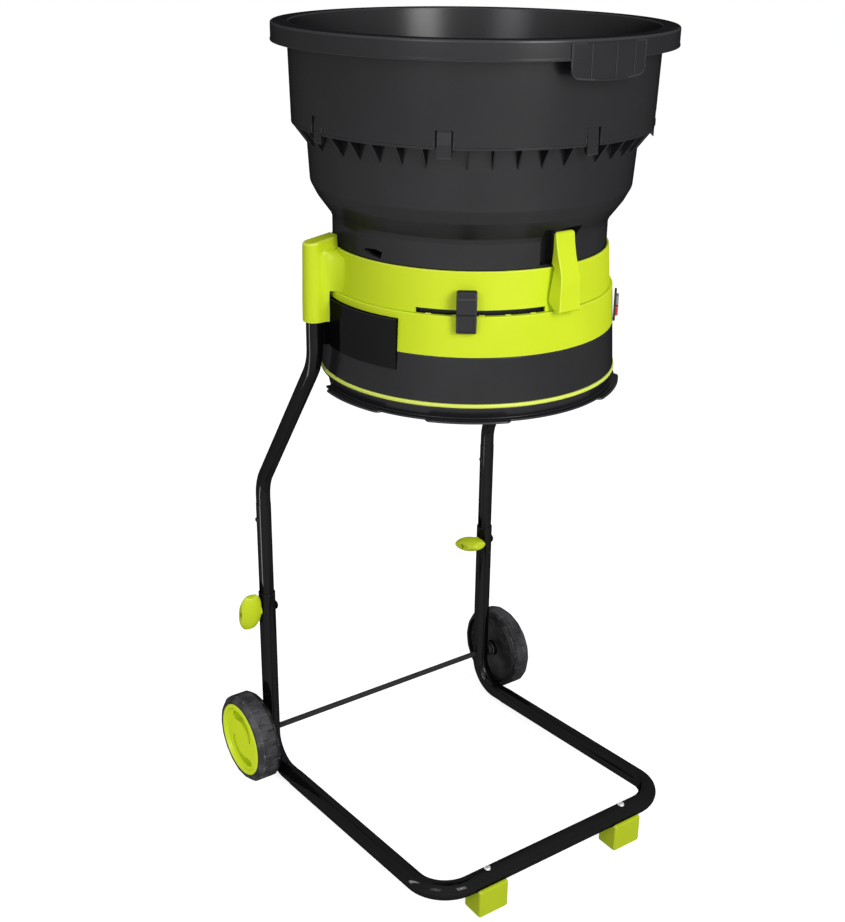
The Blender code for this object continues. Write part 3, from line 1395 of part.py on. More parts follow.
def foot_screw(side, mats):
    x = side * FOOT_X
    head = BASE_FRONT_Z + LOWER_TUBE_R + GAP
    bm = bmesh.new()
    place = Matrix.Translation((x, BASE_FRONT_Y, 0))
    turned(bm, [(0.0, SCREW_BOTTOM_Z), (SCREW_R, SCREW_BOTTOM_Z), (SCREW_R, head), (SCREW_HEAD_R, head),
                (SCREW_HEAD_R * 0.6, head + 0.0028), (0.0, head + 0.0028)], 10, place)
    return finish_mesh(side_name("foot_screw", side), bm, mats["steel"])


def clamp_bolt(side, mats):
    """Dome-headed bolt whose head is on the +X side of its leg."""
    x = side * LEG_X
    head = x + LOWER_TUBE_R + GAP
    end = x - LOWER_TUBE_R - KNOB_LENGTH * 0.8
    bm = bmesh.new()
    place = across_matrix(0, LEG_Y, BOLT_Z)
    turned(bm, [(0.0, end), (BOLT_R, end), (BOLT_R, head), (0.0070, head), (0.0045, head + 0.0032),
                (0.0, head + 0.0032)], 10, place)
    return finish_mesh(side_name("clamp_bolt", side), bm, mats["steel"])


def clamp_knob(side, tilt, mats):
    """Oval wing knob on the -X side of its leg."""
    x = side * LEG_X - LOWER_TUBE_R - GAP
    centre = Vector((x - KNOB_LENGTH / 2, LEG_Y, BOLT_Z))
    bm = bmesh.new()
    bmesh.ops.create_uvsphere(bm, u_segments=12, v_segments=8, radius=1.0)
    shape = Matrix.Translation(centre) @ Matrix.Rotation(math.radians(tilt), 4, 'X')
    shape = shape @ Matrix.Diagonal((KNOB_LENGTH / 2, KNOB_THICKNESS / 2, KNOB_SPAN / 2, 1.0))
    bmesh.ops.transform(bm, matrix=shape, verts=bm.verts)
    obj = finish_mesh(side_name("height_knob", side), bm, mats["lime"])
    boss = bmesh.new()
    cylinder(boss, KNOB_BOSS_R, (x, LEG_Y, BOLT_Z), (x - KNOB_LENGTH / 2, LEG_Y, BOLT_Z), 12)
    join(obj, tool(side_name("knob_boss", side), boss))
    bore = bmesh.new()
    cylinder(bore, BOLT_R + 2 * GAP, (x + 0.01, LEG_Y, BOLT_Z), (x - 0.05, LEG_Y, BOLT_Z), 10)
    cut(obj, tool(side_name("knob_bore", side), bore))
    set_pivot(obj, centre)
    return obj


def snap_button(side, mats):
    x = side * LEG_X
    bm = bmesh.new()
    out = x - MID_TUBE_R - 0.0020
    place = across_matrix(0, LEG_Y, SNAP_Z)
    end = x - 0.0045
    turned(bm, [(0.0, out), (SNAP_R * 0.7, out), (SNAP_R, out + 0.0010), (SNAP_R, end), (0.0, end)],
           10, place)
    obj = finish_mesh(side_name("snap_button", side), bm, mats["steel"])
    set_pivot(obj, (out, LEG_Y, SNAP_Z))
    return obj


# Switch and inlet

def band_reach(angle, half_width, low):
    """How far out the band's facets come behind a flat plate of this width."""
    radius = BAND_BOTTOM_R + (BAND_TOP_R - BAND_BOTTOM_R) * (low - BAND_Z) / BAND_HEIGHT
    samples = 48
    reach = 0.0
    for i in range(samples + 1):
        off = math.asin(half_width / radius) * (2.0 * i / samples - 1.0)
        reach = max(reach, facet_radius(radius, angle + math.degrees(off)) * math.cos(off))
    return reach


def switch_face():
    return band_reach(SWITCH_ANGLE, SWITCH_WIDTH / 2, MID_BAND_Z - SWITCH_HEIGHT / 2) + GAP


def inlet_face():
    return band_reach(INLET_ANGLE, INLET_WIDTH / 2, MID_BAND_Z - INLET_HEIGHT / 2) + GAP


def switch_plate(mats):
    place = facing(SWITCH_ANGLE)
    face = switch_face()
    bm = bmesh.new()
    box(bm, (-SWITCH_WIDTH / 2, face, MID_BAND_Z - SWITCH_HEIGHT / 2),
        (SWITCH_WIDTH / 2, face + SWITCH_DEPTH, MID_BAND_Z + SWITCH_HEIGHT / 2), place)
    obj = finish_mesh("switch_plate", bm, mats["black"])
    bevel(obj, 0.0008)
    windows = bmesh.new()
    for side in (-1, 1):
        middle = MID_BAND_Z + side * (BUTTON_HEIGHT / 2 + 0.0012)
        box(windows, (-BUTTON_WIDTH / 2 - GAP, face - 0.01, middle - BUTTON_HEIGHT / 2 - GAP),
            (BUTTON_WIDTH / 2 + GAP, face + 0.02, middle + BUTTON_HEIGHT / 2 + GAP), place)
    cut(obj, tool("button_windows", windows))
    return obj


def push_button(side, name, mat):
    place = facing(SWITCH_ANGLE)
    face = switch_face() + GAP
    middle = MID_BAND_Z + side * (BUTTON_HEIGHT / 2 + 0.0012)
    bm = bmesh.new()
    box(bm, (-BUTTON_WIDTH / 2, face, middle - BUTTON_HEIGHT / 2),
        (BUTTON_WIDTH / 2, face + BUTTON_DEPTH, middle + BUTTON_HEIGHT / 2), place)
    obj = finish_mesh(name, bm, mat)
    set_pivot(obj, place @ Vector((0, face, middle)))
    bevel(obj, 0.0012)
    return obj


def power_inlet(mats):
    """Recessed inlet with a shroud; the two blades stand inside it."""
    place = facing(INLET_ANGLE)
    face = inlet_face()
    half_w = INLET_WIDTH / 2
    half_h = INLET_HEIGHT / 2
    bm = bmesh.new()
    box(bm, (-half_w, face, MID_BAND_Z - half_h), (half_w, face + INLET_DEPTH, MID_BAND_Z + half_h), place)
    obj = finish_mesh("power_inlet", bm, mats["black"])
    bevel(obj, 0.0040)
    well = bmesh.new()
    box(well, (INLET_WALL - half_w, face + INLET_FLOOR, MID_BAND_Z - half_h + INLET_WALL),
        (half_w - INLET_WALL, face + INLET_DEPTH + 0.01, MID_BAND_Z + half_h - INLET_WALL), place)
    cut(obj, tool("inlet_well", well))
    return obj


def inlet_blade(side, name, mats):
    place = facing(INLET_ANGLE)
    face = inlet_face() + INLET_FLOOR + GAP
    bm = bmesh.new()
    x = side * BLADE_SPACING / 2
    box(bm, (x - BLADE_THICKNESS / 2, face, MID_BAND_Z - BLADE_WIDTH / 2),
        (x + BLADE_THICKNESS / 2, face + BLADE_LENGTH, MID_BAND_Z + BLADE_WIDTH / 2), place)
    return finish_mesh(name, bm, mats["brass"])


def set_down():
    """Carries the whole machine so that its footprint's middle is the origin."""
    pieces = list(bpy.data.objects)
    carrier = bpy.data.objects.new("footprint_middle", None)
    bpy.context.scene.collection.objects.link(carrier)
    carrier.location = (0.0, -FOOTPRINT_Y, 0.0)
    for piece in pieces:
        piece.parent = carrier


def build():
    clear_scene()
    mats = make_materials()
    upper_hopper(mats)
    lower_hopper(mats)
    collar(mats)
    band(mats)
    lower_housing(mats)
    trim_ring(mats)
    discharge_ring(mats)
    motor_spider(mats)
    motor_can(mats)
    motor_end_cap(mats)
    upper_bearing(mats)
    motor_shaft(mats)
    line_head(mats)
    head_nut(mats)
    shutter_ring(mats)
    shutter_slider(mats)
    for side, tag in ((-1, "a"), (1, "b")):
        line_clamp(side, "line_clamp_" + tag, mats)
        cutting_line(side, "cutting_line_" + tag, mats)
    for angle, tag in ((0.0, "front"), (180.0, "rear")):
        latch_lever(angle, "latch_lever_" + tag, mats)
        latch_pin(angle, "latch_pin_" + tag, mats)
    for side in (-1, 1):
        saddle(side, mats)
        upper_leg(side, mats)
        mid_leg(side, mats)
        lower_leg(side, mats)
        snap_button(side, mats)
        clamp_bolt(side, mats)
        clamp_knob(side, 10.0 if side < 0 else 90.0, mats)
        axle_spacer(side, mats)
        tyre(side, mats)
        hub(side, mats)
        foot(side, mats)
        foot_screw(side, mats)
    base_tube(mats)
    axle(mats)
    switch_plate(mats)
    push_button(1, "start_button", mats["grey"])
    push_button(-1, "stop_button", mats["red"])
    power_inlet(mats)
    inlet_blade(-1, "inlet_blade_a", mats)
    inlet_blade(1, "inlet_blade_b", mats)
    set_down()
    bpy.context.view_layer.update()


build()
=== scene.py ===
# %% [markdown]
# # A garden shredder on its wheeled stand
#
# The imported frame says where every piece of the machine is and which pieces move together. This
# lesson gives each of them its real shape and finish. It starts by loading the frame. Nothing in
# the frame is moved: a new piece is made in the same metres, at the same place, and then stands
# for the plain solid that was there.

# %% Load the frame
import json
import math

import bmesh
import bpy
from mathutils import Matrix, Vector

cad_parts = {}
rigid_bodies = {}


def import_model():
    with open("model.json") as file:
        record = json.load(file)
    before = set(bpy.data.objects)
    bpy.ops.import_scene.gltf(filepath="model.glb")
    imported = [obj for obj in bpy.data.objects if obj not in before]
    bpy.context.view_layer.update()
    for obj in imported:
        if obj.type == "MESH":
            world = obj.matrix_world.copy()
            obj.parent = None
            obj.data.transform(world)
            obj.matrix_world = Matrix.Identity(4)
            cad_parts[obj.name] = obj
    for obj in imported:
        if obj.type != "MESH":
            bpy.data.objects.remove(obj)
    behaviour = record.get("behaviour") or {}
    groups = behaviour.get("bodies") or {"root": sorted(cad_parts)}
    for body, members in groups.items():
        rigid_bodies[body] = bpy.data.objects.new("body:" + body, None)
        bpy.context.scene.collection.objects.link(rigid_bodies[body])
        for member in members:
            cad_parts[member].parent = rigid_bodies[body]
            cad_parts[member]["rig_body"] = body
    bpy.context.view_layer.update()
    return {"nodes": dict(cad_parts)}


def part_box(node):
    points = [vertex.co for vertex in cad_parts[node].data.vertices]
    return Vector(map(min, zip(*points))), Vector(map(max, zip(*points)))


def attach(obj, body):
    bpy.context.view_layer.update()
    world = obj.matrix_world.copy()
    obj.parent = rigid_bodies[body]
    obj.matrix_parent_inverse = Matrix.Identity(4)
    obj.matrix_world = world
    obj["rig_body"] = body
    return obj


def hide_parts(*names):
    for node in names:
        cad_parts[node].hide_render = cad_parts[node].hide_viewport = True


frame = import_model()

# %% [markdown]
# Nearly everything here is turned about one upright line, the middle of the hopper. It is easiest
# to draw each piece round that line at x = y = 0 and to carry it to its place at the end. The
# green trim ring is a full circle, so the middle of its box gives the line.

# %% The hopper's axis
trim_low, trim_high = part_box("trim_ring")
AXIS = Vector(((trim_low.x + trim_high.x) / 2, (trim_low.y + trim_high.y) / 2, 0.0))
GAP = 0.0003
WALL = 0.0026
print("axis", [round(v, 5) for v in AXIS])

# %% [markdown]
# The camera comes first, because it decides what will be seen. It stands 1.57 m away and 1.16 m
# up, a little to the left of the machine, and looks down at it. The matrix is built from the
# three directions that a camera has: right, up and back.

# %% The camera
def aim_camera():
    round_angle, distance, height = math.radians(-37.292), 1.567, 1.1621
    pitch, yaw, roll = math.radians(22.8131), math.radians(1.9171), math.radians(0.7173)
    focal_px, long_side_px = 1325.28, 922
    heading = round_angle + yaw
    forward = Vector((-math.sin(heading) * math.cos(pitch), math.cos(heading) * math.cos(pitch),
                      -math.sin(pitch)))
    right = Vector((math.cos(heading), math.sin(heading), 0.0))
    up = right.cross(forward)
    turned_right = right * math.cos(roll) + up * math.sin(roll)
    turned_up = up * math.cos(roll) - right * math.sin(roll)
    lens = bpy.data.cameras.new("photo_camera")
    lens.sensor_width = 36.0
    lens.lens = focal_px * lens.sensor_width / long_side_px
    lens.clip_start, lens.clip_end = 0.05, 40.0
    camera = bpy.data.objects.new("photo_camera", lens)
    bpy.context.scene.collection.objects.link(camera)
    place = Matrix((turned_right, turned_up, -forward)).transposed().to_4x4()
    place.translation = AXIS + Vector((distance * math.sin(round_angle),
                                       -distance * math.cos(round_angle), height))
    camera.matrix_world = place
    bpy.context.scene.camera = camera
    return camera


camera = aim_camera()
print("camera at", [round(v, 3) for v in camera.location])

# %% [markdown]
# ## Node trees
#
# Materials and patterns are node trees. Their sums read best as Python, so a small class wraps
# one node output and turns +, -, * and / into Math nodes. Every other node is made by one method,
# which takes the node's type, its settings, and what goes into its sockets.

# %% Write node trees in Python
class Wire:
    """A node's output that takes part in sums."""

    def __init__(self, tree, socket):
        self.tree = tree
        self.socket = socket

    def maths(self, operation, first, second=0.0):
        return self.tree.node("ShaderNodeMath", {"operation": operation}, {0: first, 1: second})

    def __add__(self, other):
        return self.maths("ADD", self, other)

    def __radd__(self, other):
        return self.maths("ADD", other, self)

    def __sub__(self, other):
        return self.maths("SUBTRACT", self, other)

    def __rsub__(self, other):
        return self.maths("SUBTRACT", other, self)

    def __mul__(self, other):
        return self.maths("MULTIPLY", self, other)

    def __rmul__(self, other):
        return self.maths("MULTIPLY", other, self)

    def __truediv__(self, other):
        return self.maths("DIVIDE", self, other)

    def floor(self):
        return self.maths("FLOOR", self)


print("sums on wires are ready")

# %% [markdown]
# A tree holds the nodes and links them. Its one method makes any node: the settings are set first,
# because some of them decide which sockets the node has.

# %% Nodes and links
class Tree:
    """A node tree and the one method that adds nodes to it."""

    def __init__(self, nodes_of):
        self.tree = nodes_of

    def plug(self, socket, value):
        if isinstance(value, Wire):
            self.tree.links.new(value.socket, socket)
        else:
            socket.default_value = value

    def node(self, kind, settings=None, sockets=None, output=0):
        made = self.tree.nodes.new(kind)
        for name, value in (settings or {}).items():
            setattr(made, name, value)
        for key, value in (sockets or {}).items():
            self.plug(made.inputs[key], value)
        return Wire(self, made.outputs[output])


print("a tree takes a node's type, its settings and its sockets")

# %% [markdown]
# ## Finishes
#
# A moulded part is never one flat colour. The mould is spark-eroded, which leaves a fine grain;
# the plastic flows in, which leaves slow, pale clouds; and its narrow rounded edges are lighter,
# partly from wear and partly as a painted highlight where the edges catch the light. All three use
# noises on the object's own coordinates, and the edges come from a value that each piece carries on
# its narrow edge faces. The plain reflection is switched off and a soft coat takes its place, which
# fades at a slant, so that the sides of the round housing stay dark.

# %% One recipe for every finish
class Finish(Tree):
    """A material whose Principled shader takes varied colour, roughness and bump."""

    def __init__(self, name, **constants):
        self.material = bpy.data.materials.new(name)
        self.material.use_nodes = True
        super().__init__(self.material.node_tree)
        self.shader = self.tree.nodes["Principled BSDF"]
        for socket, value in constants.items():
            self.shader.inputs[socket.replace("_", " ")].default_value = value
        self.place = self.node("ShaderNodeTexCoord", output="Object")

    def set(self, socket, value):
        self.plug(self.shader.inputs[socket], value)

    def stretched(self, scale):
        return self.node("ShaderNodeMapping", {}, {"Vector": self.place, "Scale": scale})

    def noise(self, scale, detail=2.0, place=None, roughness=0.5):
        return self.node("ShaderNodeTexNoise", {}, {
            "Vector": place or self.place, "Scale": scale, "Detail": detail, "Roughness": roughness})

    # The value that lightens rounded edges: partly wear, partly a painted highlight.
    def edge_wear_and_highlight(self):
        return self.node("ShaderNodeAttribute", {"attribute_name": "edge_wear_and_highlight"}, output="Fac")

    def tint(self, share, first, second):
        """Goes from one colour, or from another tint's wire, to a second colour."""
        start = first if isinstance(first, Wire) else (*first, 1.0)
        return self.node("ShaderNodeMix", {"data_type": "RGBA"},
                         {0: share, 6: start, 7: (*second, 1.0)}, output=2)

    def bump(self, height, distance, strength=1.0, after=None):
        sockets = {"Height": height, "Distance": distance, "Strength": strength}
        if after:
            sockets["Normal"] = after
        return self.node("ShaderNodeBump", {}, sockets, output="Normal")

    def shine(self, amount):
        """A soft coat that fades at a slant, where the grain's own bumps shade it."""
        ahead = 1.0 - self.node("ShaderNodeLayerWeight", {}, {"Blend": 0.5}, output="Facing")
        self.set("Coat Weight", amount * ahead * ahead)

    def steps(self, value, low, high):
        return self.node("ShaderNodeMapRange", {"interpolation_type": "SMOOTHSTEP"},
                         {"Value": value, "From Min": low, "From Max": high})


print("finishes are ready")

# %% [markdown]
# Every plastic of the machine comes from one recipe with its own colours. The lime comes in three
# kinds: the big mouldings, a polished one for the thin trim, whose paler colour is a painted
# highlight, and a duller one for the feet, whose darker colour is painted shade.

# %% Moulded plastics
def moulded(name, dark, light, worn_and_lit_edge_colour, roughness, shine, coat_rough=0.30, grain=900.0,
            depth=0.00004):
    """Moulded plastic: slow clouds, flow streaks, eroded grain, and lighter edges that are partly wear and
    partly painted highlight.
    """
    finish = Finish(name, Specular_IOR_Level=0.0, Coat_Roughness=coat_rough)
    cloud = finish.noise(7.0, 3.0)
    streak = finish.noise(16.0, 2.0, finish.stretched((1.0, 1.0, 0.12)))
    fine = finish.noise(grain, 3.0)
    edge_wear_and_highlight = finish.edge_wear_and_highlight()
    # Lighter edge colour: partly wear, partly a painted highlight along the rounded edges.
    worn_and_lit_edge = finish.steps(edge_wear_and_highlight * (0.55 + 0.9 * finish.noise(60.0, 3.0)), 0.15, 0.9)
    base = finish.tint(finish.steps(cloud * 0.6 + streak * 0.4, 0.3, 0.7), dark, light)
    finish.set("Base Color", finish.tint(worn_and_lit_edge, base, worn_and_lit_edge_colour))
    finish.set("Roughness", roughness + (cloud - 0.5) * 0.10 + (fine - 0.5) * 0.12 - worn_and_lit_edge * 0.10)
    finish.shine(shine * (0.8 + 0.4 * cloud))
    ripple = finish.bump(streak, 0.00030)
    finish.set("Normal", finish.bump(fine, depth, after=ripple))
    return finish.material


BLACK = moulded("moulded_black", (0.0118, 0.0118, 0.0134), (0.0154, 0.0154, 0.0172),
                (0.036, 0.036, 0.040), 0.40, 0.68, 0.25)
LIME = moulded("moulded_lime", (0.615, 0.765, 0.018), (0.670, 0.815, 0.024),
               (0.760, 0.880, 0.070), 0.42, 0.50, 0.30, 1100.0, 0.00002)
# The feet's darker lime is painted shade.
FOOT_LIME_PAINTED_SHADE = moulded("foot_lime_painted_shade", (0.500, 0.610, 0.020), (0.545, 0.655, 0.026),
                    (0.600, 0.710, 0.060), roughness=0.46, shine=0.40)
# The trim's paler lime is a painted highlight along its round face.
BEAD_LIME_PAINTED_HIGHLIGHT = moulded("polished_lime_painted_highlight", (0.700, 0.840, 0.080), (0.740, 0.870, 0.100),
                    (0.800, 0.900, 0.180), 0.30, 1.00, 0.22, 1100.0, 0.00002)
GREY = moulded("moulded_grey", (0.270, 0.270, 0.280), (0.320, 0.320, 0.330),
               (0.420, 0.420, 0.420), 0.42, 0.8, 0.30, 1100.0, 0.00002)
RED = moulded("moulded_red", (0.560, 0.016, 0.018), (0.660, 0.024, 0.024),
              (0.780, 0.160, 0.140), 0.36, 0.8, 0.30, 1100.0, 0.00002)
print("plastics:", [m.name for m in (BLACK, LIME, FOOT_LIME_PAINTED_SHADE, BEAD_LIME_PAINTED_HIGHLIGHT, GREY, RED)])

# %% [markdown]
# The stand is steel tube with sprayed gloss paint. Paint lies smooth but not flat: it draws
# together into a faint orange peel, which is what breaks the long reflections up. All of its shine
# comes from the clear coat over a nearly black base.

# %% Gloss paint on the tubes
def gloss_paint():
    finish = Finish("gloss_black_paint", Specular_IOR_Level=0.0, Coat_Roughness=0.06)
    peel = finish.noise(230.0, 2.0)
    dust = finish.noise(9.0, 4.0)
    # Lighter paint on the edges: partly wear, partly a painted highlight.
    edge_wear_and_highlight = finish.steps(finish.edge_wear_and_highlight() * (0.4 + finish.noise(90.0, 3.0)), 0.3, 1.0)
    base = finish.tint(dust, (0.0022, 0.0022, 0.0026), (0.0044, 0.0044, 0.0050))
    finish.set("Base Color", finish.tint(edge_wear_and_highlight, base, (0.030, 0.030, 0.032)))
    finish.set("Roughness", 0.22 + dust * 0.12)
    finish.shine(0.46 - dust * 0.2)
    finish.set("Normal", finish.bump(peel, 0.00004))
    return finish.material


PAINT = gloss_paint()
print("paint:", PAINT.name)

# %% [markdown]
# The tyres are hard blown plastic with a dry skin, so they are rougher than the housing and their
# clouds are stronger. The inner side, which faces the machine, is darker: that is painted shade.
# Dust sits on the outer part alone: how far a point lies from the middle of the machine says where
# the painted shade of the inner side begins. Bare metals differ in what was done to them: zinc
# plating has small crystals, the motor's can was drawn and shows fine lines, and brass blades are
# polished.

# %% Tyres and bare metals
def tyre_skin():
    finish = Finish("tyre_skin", Specular_IOR_Level=0.0, Coat_Roughness=0.45)
    dust = finish.noise(38.0, 5.0, roughness=0.65)
    fine = finish.noise(700.0, 3.0)
    # Lighter edges: partly wear, partly a painted highlight.
    edge_wear_and_highlight = finish.steps(finish.edge_wear_and_highlight() * (0.5 + finish.noise(70.0, 3.0)), 0.2, 1.0)
    # Painted shade: the side facing the machine gets a much darker skin than the outer side.
    across_machine = finish.node("ShaderNodeSeparateXYZ", {}, {0: finish.place})
    outer = finish.steps(across_machine.maths("ABSOLUTE", across_machine), 0.2130, 0.2160)
    skin = finish.tint(outer, (0.0050, 0.0050, 0.0056), (0.0200, 0.0200, 0.0220))
    base = finish.tint(finish.steps(dust, 0.35, 0.72) * outer, skin, (0.080, 0.080, 0.085))
    finish.set("Base Color", finish.tint(edge_wear_and_highlight, base, (0.092, 0.092, 0.095)))
    finish.set("Roughness", 0.58 + dust * 0.22)
    finish.shine(0.7 - dust * 0.4)
    finish.set("Normal", finish.bump(fine, 0.00009, after=finish.bump(dust, 0.00025)))
    return finish.material


def bare_metal(name, dark, light, roughness, scale, stretch=(1.0, 1.0, 1.0), depth=0.00002):
    finish = Finish(name, Metallic=1.0)
    grain = finish.noise(scale, 4.0, finish.stretched(stretch))
    cloud = finish.noise(22.0, 3.0)
    finish.set("Base Color", finish.tint(grain * 0.6 + cloud * 0.4, dark, light))
    finish.set("Roughness", roughness + (grain - 0.5) * 0.18 + (cloud - 0.5) * 0.12)
    finish.set("Normal", finish.bump(grain, depth))
    return finish.material


def nylon():
    finish = Finish("nylon_line", Subsurface_Weight=0.15, Subsurface_Radius=(0.002, 0.002, 0.001))
    scuff = finish.noise(320.0, 4.0)
    finish.set("Base Color", finish.tint(finish.steps(scuff, 0.35, 0.7), (0.62, 0.78, 0.08),
                                         (0.80, 0.90, 0.30)))
    finish.set("Roughness", 0.34 + scuff * 0.2)
    finish.set("Normal", finish.bump(scuff, 0.00004))
    return finish.material


TYRE = tyre_skin()
ZINC = bare_metal("zinc_plate", (0.50, 0.50, 0.49), (0.74, 0.74, 0.72), 0.32, 260.0)
DRAWN = bare_metal("drawn_steel", (0.22, 0.22, 0.23), (0.40, 0.40, 0.41), 0.40, 300.0, (1.0, 1.0, 0.05))
BRASS = bare_metal("polished_brass", (0.62, 0.44, 0.16), (0.86, 0.68, 0.32), 0.26, 180.0)
NYLON = nylon()
print("others:", TYRE.name, ZINC.name, DRAWN.name, BRASS.name, NYLON.name)

# %% [markdown]
# ## Drawing tools
#
# Most pieces start as an outline with its corners rounded. A loft skins a row of such outlines,
# and where the row closes on itself it needs no caps. Doubles are merged and the faces are turned
# outwards each time, so that every sketch can be cut or joined.

# %% Outlines and lofts
def rounded(corners, steps=4):
    """Turns (x, y, radius) corners into an outline with short arcs."""
    points = []
    for i, (x, y, radius) in enumerate(corners):
        here = Vector((x, y))
        before = here - Vector(corners[i - 1][:2])
        after = Vector(corners[(i + 1) % len(corners)][:2]) - here
        if radius == 0.0 or before.length < 1e-7 or after.length < 1e-7:
            points.append(here)
            continue
        reach = radius * math.tan(before.angle(after) / 2)
        reach = min(reach, 0.48 * before.length, 0.48 * after.length)
        start, end = here - before.normalized() * reach, here + after.normalized() * reach
        for k in range(steps + 1):
            t = k / steps
            points.append(start * (1 - t) ** 2 + here * 2 * t * (1 - t) + end * t * t)
    return [(p.x, p.y) for p in points]


def loft(sections, closed=False):
    """Skins equal loops of points, and caps an open run."""
    bm = bmesh.new()
    loops = [[bm.verts.new(p) for p in section] for section in sections]
    pairs = list(zip(loops, loops[1:])) + ([(loops[-1], loops[0])] if closed else [])
    for one, two in pairs:
        for i in range(len(one)):
            j = (i + 1) % len(one)
            bm.faces.new((one[i], one[j], two[j], two[i]))
    if not closed:
        bm.faces.new(loops[0])
        bm.faces.new(loops[-1])
    return tidy(bm)


def tidy(bm):
    """Merges doubles and points the faces out."""
    bmesh.ops.remove_doubles(bm, verts=bm.verts, dist=1e-6)
    bmesh.ops.dissolve_degenerate(bm, edges=bm.edges, dist=1e-7)
    bmesh.ops.recalc_face_normals(bm, faces=bm.faces)
    return bm


print("a square with soft corners:", len(rounded([(0, 0, 1), (9, 0, 1), (9, 9, 1), (0, 9, 1)])),
      "points")

# %% [markdown]
# Angles round the machine start at the front and grow to its left, as in the frame's source. An
# outline that is repeated at many angles becomes a ring, or a part of one. A matrix carries a
# sketch that was drawn upright to its angle, or lays it along the axle.

# %% Places and rings round the axis
def spot(radius, angle, z):
    """A point at this angle from the front."""
    a = math.radians(angle)
    return Vector((-radius * math.sin(a), -radius * math.cos(a), z))


def turned(outline, start=0.0, end=360.0, steps=192):
    """A ring, or a part of one, from a (radius, height) outline."""
    full = end - start > 359.9
    count = steps if full else max(2, round(steps * (end - start) / 360.0)) + 1
    span = (end - start) / (count if full else count - 1)
    return loft([[spot(r, start + span * i, z) for r, z in outline] for i in range(count)], full)


def facing(angle):
    """Axes whose X runs along the round and whose Y points out, at this angle."""
    return Matrix.Rotation(math.pi - math.radians(angle), 4, "Z")


def across(x, y, z):
    """Axes that lay a turned piece along X, through this point."""
    return Matrix.Translation((x, y, z)) @ Matrix.Rotation(math.pi / 2, 4, "Y")


def placed(bm, matrix):
    bmesh.ops.transform(bm, matrix=matrix, verts=bm.verts)
    return bm


print("left is at", [round(v, 3) for v in spot(1.0, 90.0, 0.0)])

# %% [markdown]
# Straight pieces are a block, a rod, or an outline that is pushed along the round. Their edges
# are bevelled, because no moulded or cut edge is ever quite sharp.

# %% Blocks, rods and soft edges
def pushed(outline, low, high, angle=0.0):
    """A (out, up) outline pushed along the round, at this angle."""
    place = facing(angle)
    return loft([[place @ Vector((x, y, z)) for y, z in outline] for x in (low, high)])


def block(low, high, angle=None):
    corners = [(low[0], low[1]), (high[0], low[1]), (high[0], high[1]), (low[0], high[1])]
    bm = loft([[Vector((x, y, z)) for x, y in corners] for z in (low[2], high[2])])
    return bm if angle is None else placed(bm, facing(angle))


def rod(radius, start, end, sides=48):
    start, end = Vector(start), Vector(end)
    bm = bmesh.new()
    turn = Vector((0, 0, 1)).rotation_difference(end - start).to_matrix().to_4x4()
    bmesh.ops.create_cone(bm, cap_ends=True, segments=sides, radius1=radius, radius2=radius,
                          depth=(end - start).length, matrix=Matrix.Translation((start + end) / 2) @ turn)
    return bm


def softened(bm, width, segments=2, sharper_than=30.0):
    """Bevels every edge that is sharper than an angle."""
    limit = math.radians(sharper_than)
    edges = [e for e in bm.edges if len(e.link_faces) == 2 and e.calc_face_angle() > limit]
    bmesh.ops.bevel(bm, geom=edges, offset=width, offset_type="OFFSET", segments=segments,
                    profile=0.5, affect="EDGES", clamp_overlap=True)
    return tidy(bm)


print("drawing tools are ready")

# %% [markdown]
# A sketch becomes a Blender object, other sketches are carved out of it with exact Booleans or
# laid into it, and the result is kept as a plain mesh. Weighted normals come last: they let the
# broad faces keep their own direction, so that only the small roundings catch the light.

# %% Carve, add and settle
def thing(name, bm):
    mesh = bpy.data.meshes.new(name)
    bm.to_mesh(mesh)
    bm.free()
    obj = bpy.data.objects.new(name, mesh)
    bpy.context.scene.collection.objects.link(obj)
    return obj


def settle(obj):
    """Turns what the modifiers make into the object's own mesh."""
    graph = bpy.context.evaluated_depsgraph_get()
    mesh = bpy.data.meshes.new_from_object(obj.evaluated_get(graph), depsgraph=graph)
    obj.modifiers.clear()
    old = obj.data
    obj.data = mesh
    bpy.data.meshes.remove(old)
    return obj


def combine(obj, operation, sketches):
    helpers = [thing("helper", bm) for bm in sketches]
    for helper in helpers:
        step = obj.modifiers.new(operation, "BOOLEAN")
        step.operation, step.solver, step.object = operation, "EXACT", helper
    settle(obj)
    for helper in helpers:
        bpy.data.objects.remove(helper)
    return obj


def carved(obj, *sketches):
    return combine(obj, "DIFFERENCE", sketches)


def welded(obj, *sketches):
    return combine(obj, "UNION", sketches)


print("shapes can be carved and welded")

# %% [markdown]
# A Boolean costs time, and it can fail on faces that nearly meet. Where two shapes only overlap
# and the seam isn't seen, the one is laid into the other as it is.

# %% Lay shapes in
def laid_in(obj, *sketches):
    """Adds whole shapes to a mesh without cutting them together."""
    bm = bmesh.new()
    bm.from_mesh(obj.data)
    for sketch in sketches:
        if isinstance(sketch, bpy.types.Object):
            bm.from_mesh(sketch.data)
            bpy.data.objects.remove(sketch)
        else:
            mesh = bpy.data.meshes.new("part")
            sketch.to_mesh(mesh)
            sketch.free()
            bm.from_mesh(mesh)
            bpy.data.meshes.remove(mesh)
    bm.to_mesh(obj.data)
    bm.free()
    return obj


print("shapes can be laid in")

# %% [markdown]
# The last tool dresses a node. It measures where edges are rounded and stores that as a value
# that makes edges lighter, partly as wear and partly as a painted highlight, gives the piece its
# finish, carries it to the axis, lets it ride on the node's body and stand for the node. It prints
# how far the new piece's box departs from the solid's, so a slip shows at once.
#
# A face counts as an edge face where its area is small for the length of its border.

